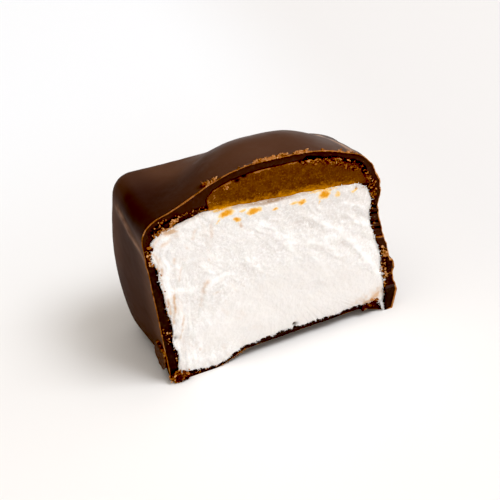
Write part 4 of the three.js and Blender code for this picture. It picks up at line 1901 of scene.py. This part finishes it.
@dataclass
class Crumbs:
    """Loose crumbs of broken chocolate along the edges of the cut foods."""

    place: Place
    seed: int = 5
    lump_height: float = 0.4
    lump_seed: int = 81
    stretch: Pair = (0.6, 1.3)
    shade_spread: float = 0.3
    patches: tuple[Patch, ...] = (
        Patch((-12.3, 15.5), (-12.3, 2.0), 0.1, 60, (0.07, 0.2), 0.6),
        Patch((-12.9, 18.4), (-12.8, 16.2), 0.2, 34, (0.12, 0.4), 0.62),
        Patch((-13.1, 7.2), (-12.6, 5.6), 0.24, 18, (0.1, 0.28), 0.55),
        Patch((9.9, 1.35), (11.7, 1.5), 0.1, 30, (0.16, 0.4), 0.1, (-0.2, 0.0)),
        Patch((9.8, 1.25), (11.5, 1.25), 0.06, 12, (0.4, 0.62), 0.1, (-0.2, -0.05)),
        Patch((-12.65, 18.5), (-12.6, 18.3), 0.08, 5, (0.3, 0.46), 0.3, (-0.2, -0.05)),
        Patch((-12.1, 19.6), (-10.8, 20.3), 0.16, 30, (0.1, 0.3), 0.6, (-0.16, 0.02)),
        Patch((-8.9, 21.1), (-6.3, 21.2), 0.07, 40, (0.06, 0.16), 0.5),
        Patch((-10.2, 20.5), (-9.0, 21.0), 0.16, 40, (0.12, 0.34), 0.72, (-0.16, 0.0)),
        Patch((-11.2, 21.0), (-10.7, 21.2), 0.1, 8, (0.12, 0.28), 0.7),
        Patch((10.4, 17.7), (11.3, 17.5), 0.12, 8, (0.06, 0.16), 1.0, (-0.3, -0.15)),
        Patch((12.2, 18.0), (12.5, 15.6), 0.2, 40, (0.1, 0.28), 0.42, (-0.1, 0.1)),
        Patch((-10.5, 20.0), (-9.8, 20.1), 0.1, 14, (0.08, 0.2), 0.8, (-0.14, 0.0)),
        Patch((-3.9, 22.9), (-3.5, 22.8), 0.1, 16, (0.14, 0.34), 0.55, (-0.2, -0.08)),
        Patch((12.4, 17.6), (12.2, 10.0), 0.09, 44, (0.07, 0.2), 0.55),
        Patch((12.9, 18.0), (12.6, 15.4), 0.24, 26, (0.08, 0.3), 0.5),
        Patch((13.1, 9.0), (13.3, 7.4), 0.16, 30, (0.12, 0.36), 0.75),
        Patch((12.9, 6.2), (13.1, 4.2), 0.26, 60, (0.12, 0.34), 0.7),
        Patch((12.9, 4.0), (12.85, 1.2), 0.1, 18, (0.08, 0.2), 0.5),
        Patch((11.2, 1.95), (11.9, 1.7), 0.12, 20, (0.12, 0.34), 0.5),
        Patch((-13.2, 0.8), (-11.9, 0.6), 0.3, 130, (0.14, 0.44), 0.45, (-0.36, 0.05)),
        # These dark crumbs also stand in for the shade between the lighter crumbs of the clump.
        Patch((-13.3, 0.9), (-11.4, 0.5), 0.3, 70, (0.16, 0.4), -0.1, (-0.42, -0.1)),
        Patch((-0.6, 21.2), (-0.3, 20.9), 0.1, 4, (0.1, 0.2), 0.5, (-0.2, -0.12)),
        Patch((-12.9, 0.65), (-12.1, 0.6), 0.12, 6, (0.7, 0.95), 0.12, (-0.3, -0.05)),
        Patch((-11.4, 0.35), (-6.6, 0.12), 0.06, 36, (0.06, 0.18), 0.5),
        Patch((-6.4, 0.4), (-4.4, 1.15), 0.05, 18, (0.06, 0.16), 0.5),
    )

    @staticmethod
    def ball() -> tuple[Array, Array]:
        """Gives the corners and the faces of a plain ball."""
        ball = bmesh.new()
        bmesh.ops.create_icosphere(ball, subdivisions=2, radius=1)
        corners = np.array([vertex.co[:] for vertex in ball.verts])
        sides = np.array([[vertex.index for vertex in face.verts] for face in ball.faces])
        ball.free()
        return corners, sides

    def crumb(self, draw: np.random.Generator, patch: Patch, share: float, ball: Array) -> Array:
        """Gives the corners of one crumb.

        Args:
            draw: The draws of its place, size, lumps and turn.
            patch: The patch that it lies in.
            share: How far along the patch's line it lies.
            ball: The corners of a plain ball.

        Returns:
            The crumb's corners, none of them below the table.
        """
        line = blend(np.array(patch.start), np.array(patch.end), share)
        x, z = line + patch.spread * draw.normal(size=2)
        size = blend(*patch.sizes, draw.random() ** 2)
        lumpy = 1 + self.lump_height * noise(ball * 1.7 + 31 * draw.random(3), self.lump_seed)
        stretch = size / 2 * draw.uniform(*self.stretch, 3)
        turn = tumble(draw)
        middle = np.array([x, draw.uniform(*patch.depth), z])
        crumb = (ball * lumpy[:, None] * stretch) @ turn.T + middle
        crumb[:, 2] -= min(crumb[:, 2].min(), 0)
        return crumb

    def build(self, finish: Material) -> Piece:
        """Scatters crumbs over the patches and joins them."""
        draw = np.random.default_rng(self.seed)
        ball, sides = self.ball()
        points, faces, shades = [], [], []
        for patch in self.patches:
            for share in draw.random(patch.count):
                faces.append(sides + len(ball) * len(points))
                points.append(self.crumb(draw, patch, share, ball))
                shade = patch.shade + self.shade_spread * draw.normal()
                shades.append(np.full(len(ball), shade))
        sides = np.concatenate(faces).tolist()
        crumbs = make_piece("crumbs", np.concatenate(points), sides, self.place, smooth=False)
        paint(crumbs, {"shade": np.concatenate(shades)})
        return dress(crumbs, finish, Slot.CHOCOLATE)


@dataclass(frozen=True)
class Drift:
    """A drift of thin shavings, in a box from one corner to the other."""

    low: tuple[float, float, float]
    high: tuple[float, float, float]
    count: int
    lengths: Pair
    shade: float


@dataclass
class Shavings:
    """Thin curled shavings of chocolate, on the top behind the rim and in the gap over the caramel."""

    form: SweetForm
    place: Place
    seed: int = 9
    thickness: float = 0.035
    steps: int = 9
    gap_ends: Pair = (4.9, 12.4)
    gap_heights: Pair = (18, 24)
    gap_end_height: float = 19
    gap_count: int = 150
    gap_lengths: Pair = (0.3, 0.7)
    gap_depths: Pair = (-0.28, 0.1)
    gap_shade: float = 0.5
    shade_spread: float = 0.2
    drifts: tuple[Drift, ...] = (
        Drift((-5.9, 0.1, 0.1), (-5.2, 0.6, 0.2), 3, (0.7, 1.1), 0.6),
        Drift((-5.0, 0.1, 0.05), (-4.2, 0.5, 0.2), 5, (0.3, 0.6), 0.85),
        Drift((-2.6, 0.0, 0.0), (-0.6, 0.25, 0.1), 6, (0.15, 0.3), 0.6),
        Drift((-0.2, 0.0, 0.1), (3.5, 0.35, 0.3), 30, (0.2, 0.5), 0.8),
        Drift((4.2, 0.0, 0.1), (5.9, 0.3, 0.2), 12, (0.15, 0.4), 0.75),
        Drift((7.2, 0.0, 0.0), (7.6, 0.3, 0.15), 4, (0.2, 0.35), 0.6),
        Drift((9.3, 0.0, 0.0), (11.0, 0.4, 0.2), 9, (0.2, 0.4), 0.6),
    )

    def ribbon(self, draw: np.random.Generator, length: float) -> Array:
        """Makes one shaving.

        Args:
            draw: The draws of its width, curl and taper.
            length: Its length along its curl.

        Returns:
            Its points round its own middle, four to a step.
        """
        width = length * draw.uniform(0.25, 0.5)
        curl = draw.uniform(0.6, 2.6)
        along = np.linspace(-0.5, 0.5, self.steps)
        x = length * np.sin(curl * along) / curl
        z = length * (1 - np.cos(curl * along)) / curl
        ragged = draw.uniform(0.6, 1.2, self.steps)
        half = width / 2 * (1 - np.abs(2 * along) ** 3) * ragged + 0.01
        path, aside = np.stack([x, 0 * x, z], axis=1), np.stack([0 * x, half, 0 * x], axis=1)
        return strand(path, aside, np.array([0, 0, self.thickness]))

    def gap_line(self, share: float) -> Pair:
        """Gives a place along the gap between caramel and coat, from its left end to its right end."""
        x = blend(*self.gap_ends, share)
        points = np.array([[x, 0.0, z] for z in np.linspace(*self.gap_heights, 200)])
        inside = points[self.form.caramel(points) < 0]
        return x, float(inside[-1, 2] if len(inside) else self.gap_end_height)

    def build(self, finish: Material) -> Piece:
        """Lays the shavings on the top and stands them in the gap."""
        draw = np.random.default_rng(self.seed)
        points, faces, shades = [], [], []
        sides = strand_faces(self.steps)

        def lay(middle: Array, length: float, shade: float) -> None:
            """Adds one shaving with its middle at a place."""
            own = self.ribbon(draw, length)
            turn = tumble(draw)
            faces.extend((sides + len(own) * len(points)).tolist())
            points.append(own @ turn.T + middle)
            shades.append(np.full(len(own), shade + self.shade_spread * draw.normal()))

        for drift in self.drifts:
            for _ in range(drift.count):
                x, y, lift = draw.uniform(drift.low, drift.high)
                top = float(self.form.top_at(np.array([x]), np.array([y]))[0])
                lay(np.array([x, y, top + lift]), draw.uniform(*drift.lengths), drift.shade)
        for share in draw.random(self.gap_count):
            x, z = self.gap_line(share)
            low = 0.5 + 0.7 * float(ramp(x, 8.5, 11))
            middle = np.array([x, draw.uniform(*self.gap_depths), z - draw.uniform(-0.12, low)])
            lay(middle, draw.uniform(*self.gap_lengths), self.gap_shade)
        shavings = make_piece("shavings", np.concatenate(points), faces, self.place)
        paint(shavings, {"shade": np.concatenate(shades)})
        return dress(shavings, finish, Slot.CHOCOLATE)


@dataclass(frozen=True)
class Tuft:
    """A bundle of white fibres between two points of the cut face, all leaning the same way."""

    start: Pair
    end: Pair
    count: int
    lean: float


@dataclass
class Wisps:
    """Fine white fibres of marshmallow that reach over the edges of the foods round it."""

    foam: Foam
    seed: int = 13
    rim_points: int = 1024
    count: int = 560
    lengths: Pair = (0.12, 0.42)
    width: float = 0.07
    thickness: float = 0.03
    steps: int = 5
    root: float = 0.12
    tufts: tuple[Tuft, ...] = (
        Tuft((12.2, 1.45), (12.34, 0.5), 40, -88),
        Tuft((12.3, 1.0), (12.4, 0.3), 30, -86),
    )
    tuft_spread: float = 0.05
    tuft_length: float = 0.5
    lowest: float = 0.02

    def wisp(self, draw: np.random.Generator, start: Array, angle: float, length: float) -> Array:
        """Gives the points of one fibre, four to a step, thinning towards its end.

        Args:
            draw: The draws of its bend, depth and width.
            start: Where it is rooted.
            angle: Where it points on the cut face, in radians.
            length: Its length.

        Returns:
            Its points.
        """
        along = np.linspace(0, 1, self.steps)
        bent = angle + draw.normal() * 0.5 * along
        step = length / (self.steps - 1)
        x = start[0] + np.concatenate([[0], np.cumsum(np.cos(bent[1:]) * step)])
        z = start[2] + np.concatenate([[0], np.cumsum(np.sin(bent[1:]) * step)])
        y = start[1] - 0.1 * draw.random() * along
        half = self.width / 2 * draw.uniform(0.6, 1.4) * (1 - 0.8 * along**2)
        aside = half[:, None] * np.array([-math.sin(angle), 0, math.cos(angle)])
        return strand(np.stack([x, y, z], axis=1), aside, np.array([0, -self.thickness, 0]))

    def tidy_at(self, spot: Array) -> float:
        """Gives how long the fibres are at a point of the rim: short under the caramel and below."""
        if spot[2] > 19 and -6 < spot[0] < 5:
            return 0.3
        return 0.6 if spot[2] < 2.5 else 1.0

    def rim_wisps(self, draw: np.random.Generator) -> list[Array]:
        """Grows fibres outwards from the edge of the marshmallow."""
        rings = Rings(self.foam.surface, self.foam.middle, self.rim_points)
        rim = rings.row(Row(0, 0, self.rim_points))
        wisps = []
        for place in draw.integers(0, len(rim), self.count):
            spot, ahead = rim[place], rim[(place + 3) % len(rim)] - rim[place - 3]
            outward = math.atan2(-ahead[0], ahead[2])
            length = self.tidy_at(spot) * blend(*self.lengths, draw.random() ** 2)
            start = spot - self.root * np.array([math.cos(outward), 0, math.sin(outward)])
            start[1] = self.foam.relief(start[:1], start[2:], np.array([0.97]))[0] - 0.02
            wisps.append(self.wisp(draw, start, outward + 0.7 * draw.normal(), length))
        return wisps

    def tuft_wisps(self, draw: np.random.Generator) -> list[Array]:
        """Grows the fibres of the tufts."""
        wisps = []
        for tuft in self.tufts:
            for share in draw.random(tuft.count):
                line = blend(np.array(tuft.start), np.array(tuft.end), share)
                x, z = line + self.tuft_spread * draw.normal(size=2)
                lean = math.radians(tuft.lean) + 0.1 * draw.normal()
                start = np.array([x, -0.12 - 0.15 * draw.random(), z])
                wisps.append(self.wisp(draw, start, lean, self.tuft_length))
        return wisps

    def build(self, finish: Material) -> Piece:
        """Grows fibres out of the edge of the marshmallow and in the tufts, and joins them."""
        draw = np.random.default_rng(self.seed)
        strands = self.rim_wisps(draw) + self.tuft_wisps(draw)
        points = np.concatenate(strands)
        points[:, 2] = np.maximum(points[:, 2], self.lowest)
        sides = strand_faces(self.steps)
        faces = [sides + 4 * self.steps * index for index in range(len(strands))]
        wisps = make_piece("wisps", points, np.concatenate(faces).tolist(), self.foam.place)
        # The fibres get a little painted shade and painted light.
        paint(wisps, {"fluffy": 0, "hollow": 0.1, "peak_light": 0.4, "stain_and_shade": 0, "smear": 0, "pit_and_shadow": 0})
        return dress(wisps, finish, Slot.MARSHMALLOW)


# ---- The studio ----


@dataclass(frozen=True)
class Lamp:
    """A soft square lamp: its direction, its distance and size in metres, and its strength."""

    name: str
    azimuth: float
    elevation: float
    distance: float
    size: float
    watts: float
    colour: Colour = (0.97, 0.995, 1.04)


@dataclass
class Studio:
    """A pale table, soft lamps, a plain surrounding and the camera."""

    place: Place
    azimuth: float = -15.69
    elevation: float = 36.0
    roll: float = 9.13
    distance: float = 148.4
    focus: tuple[float, float, float] = (-2.11, 0.0, 14.11)
    lens: float = 100.0
    table_size: float = 3.0
    lamps: tuple[Lamp, ...] = (Lamp("key", 50, 58, 1.2, 0.5, 8.4),)
    front: Pair = (2.0, 0.45)
    front_band: Pair = (0.0, 0.62)
    back: Pair = (1.9, 0.16)
    back_band: Pair = (-0.06, 0.24)
    overhead: float = 1.6
    overhead_band: Pair = (0.74, 0.96)
    turn_band: Pair = (-0.3, 0.5)
    left: float = 0.66
    left_band: Pair = (-0.75, 0.0)
    tint: Colour = (1.0, 0.94, 0.87)
    black: float = 0.045

    def aim(self, azimuth: float, elevation: float) -> Vector:
        """Gives the direction to a lamp or the camera. Azimuth 0 is in front, 90 at the right."""
        a, e = math.radians(azimuth), math.radians(elevation)
        return Vector((math.sin(a) * math.cos(e), -math.cos(a) * math.cos(e), math.sin(e)))

    def table(self, finish: Material) -> Piece:
        """Makes the table top."""
        mesh = bpy.data.meshes.new("table")
        half = self.table_size / 2
        corners = [(-half, -half, 0), (half, -half, 0), (half, half, 0), (-half, half, 0)]
        mesh.from_pydata(corners, [], [(0, 1, 2, 3)])
        table = bpy.data.objects.new("table", mesh)
        bpy.context.scene.collection.objects.link(table)
        mesh.materials.append(finish)
        return table

    def light(self) -> None:
        """Hangs the lamps round the sweet and sets the surrounding."""
        for lamp in self.lamps:
            data = bpy.data.lights.new(lamp.name, "AREA")
            data.shape = "SQUARE"
            data.size = lamp.size
            data.energy = lamp.watts
            data.color = lamp.colour
            light = bpy.data.objects.new(lamp.name, data)
            direction = self.aim(lamp.azimuth, lamp.elevation)
            light.location = direction * lamp.distance
            light.rotation_euler = direction.to_track_quat("Z", "Y").to_euler()
            bpy.context.scene.collection.objects.link(light)
        self.surround()

    def surround(self) -> None:
        """Sets the surrounding: a white sweep at the horizon, a dim room and a bright ceiling."""
        world = bpy.data.worlds.new("surrounding")
        world.use_nodes = True
        nodes = Nodes(world.node_tree)
        place = world.node_tree.nodes.new("ShaderNodeTexCoord").outputs["Generated"]
        across, ahead, up = (nodes.part(place, axis) for axis in "XYZ")
        front = nodes.between(up, *self.front_band, *self.front)
        back = nodes.between(up, *self.back_band, *self.back)
        sweep = nodes.between(ahead, *self.turn_band, front, back)
        darker = nodes.between(across, *self.left_band, self.left, 1.0)
        room = nodes.sum_up("MULTIPLY", sweep, darker, clamp=False)
        background = world.node_tree.nodes["Background"]
        nodes.feed(background.inputs["Color"], self.tint)
        ceiling = nodes.between(up, *self.overhead_band, room, self.overhead)
        nodes.feed(background.inputs["Strength"], ceiling)
        bpy.context.scene.world = world

    def develop(self) -> None:
        """Sets how light becomes colour: a plain view with deepened blacks, as in a product picture."""
        view = bpy.context.scene.view_settings
        view.view_transform = "Standard"
        view.use_curve_mapping = True
        view.curve_mapping.black_level = (self.black, self.black, self.black)
        view.curve_mapping.update()

    def camera(self) -> Piece:
        """Sets the camera, rolled as a hand-held one is."""
        back = self.aim(self.azimuth, self.elevation)
        azimuth, roll = math.radians(self.azimuth), math.radians(self.roll)
        level = Vector((math.cos(azimuth), math.sin(azimuth), 0))
        upright = back.cross(level)
        right = level * math.cos(roll) - upright * math.sin(roll)
        up = level * math.sin(roll) + upright * math.cos(roll)
        data = bpy.data.cameras.new("camera")
        data.lens = self.lens
        data.clip_start = 0.01
        camera = bpy.data.objects.new("camera", data)
        eye = Vector(self.place.metres(np.array(self.focus))) + back * self.distance * MM
        camera.matrix_world = Matrix.Translation(eye) @ Matrix((right, up, back)).transposed().to_4x4()
        bpy.context.scene.collection.objects.link(camera)
        bpy.context.scene.camera = camera
        return camera


# ---- Building it all ----


def main() -> None:
    """Builds the studio, the three foods and what the knife has left, and reports each piece."""
    logging.basicConfig(level=logging.INFO, format="%(name)s: %(message)s")
    form = SweetForm()
    place = Place.on_coat(form)
    studio = Studio(place)
    studio.camera()
    studio.table(TableFinish().material())
    studio.light()
    studio.develop()

    chocolate = ChocolateFinish().material()
    broken = CrumbFinish().material()
    foam = Foam(form, place)
    white = MarshmallowFinish().material()
    foam.build(white)
    Wisps(foam).build(white)
    coat = Coat(form, foam, Rim(form, Strip(form)), place)
    coat.build(chocolate)
    Caramel(form, place).build(CaramelFinish().material())
    RimBurr(coat).build(broken)
    FootFlake(coat).build(chocolate)
    Crumbs(place).build(broken)
    Shavings(form, place).build(broken)


if __name__ == "__main__":
    main()
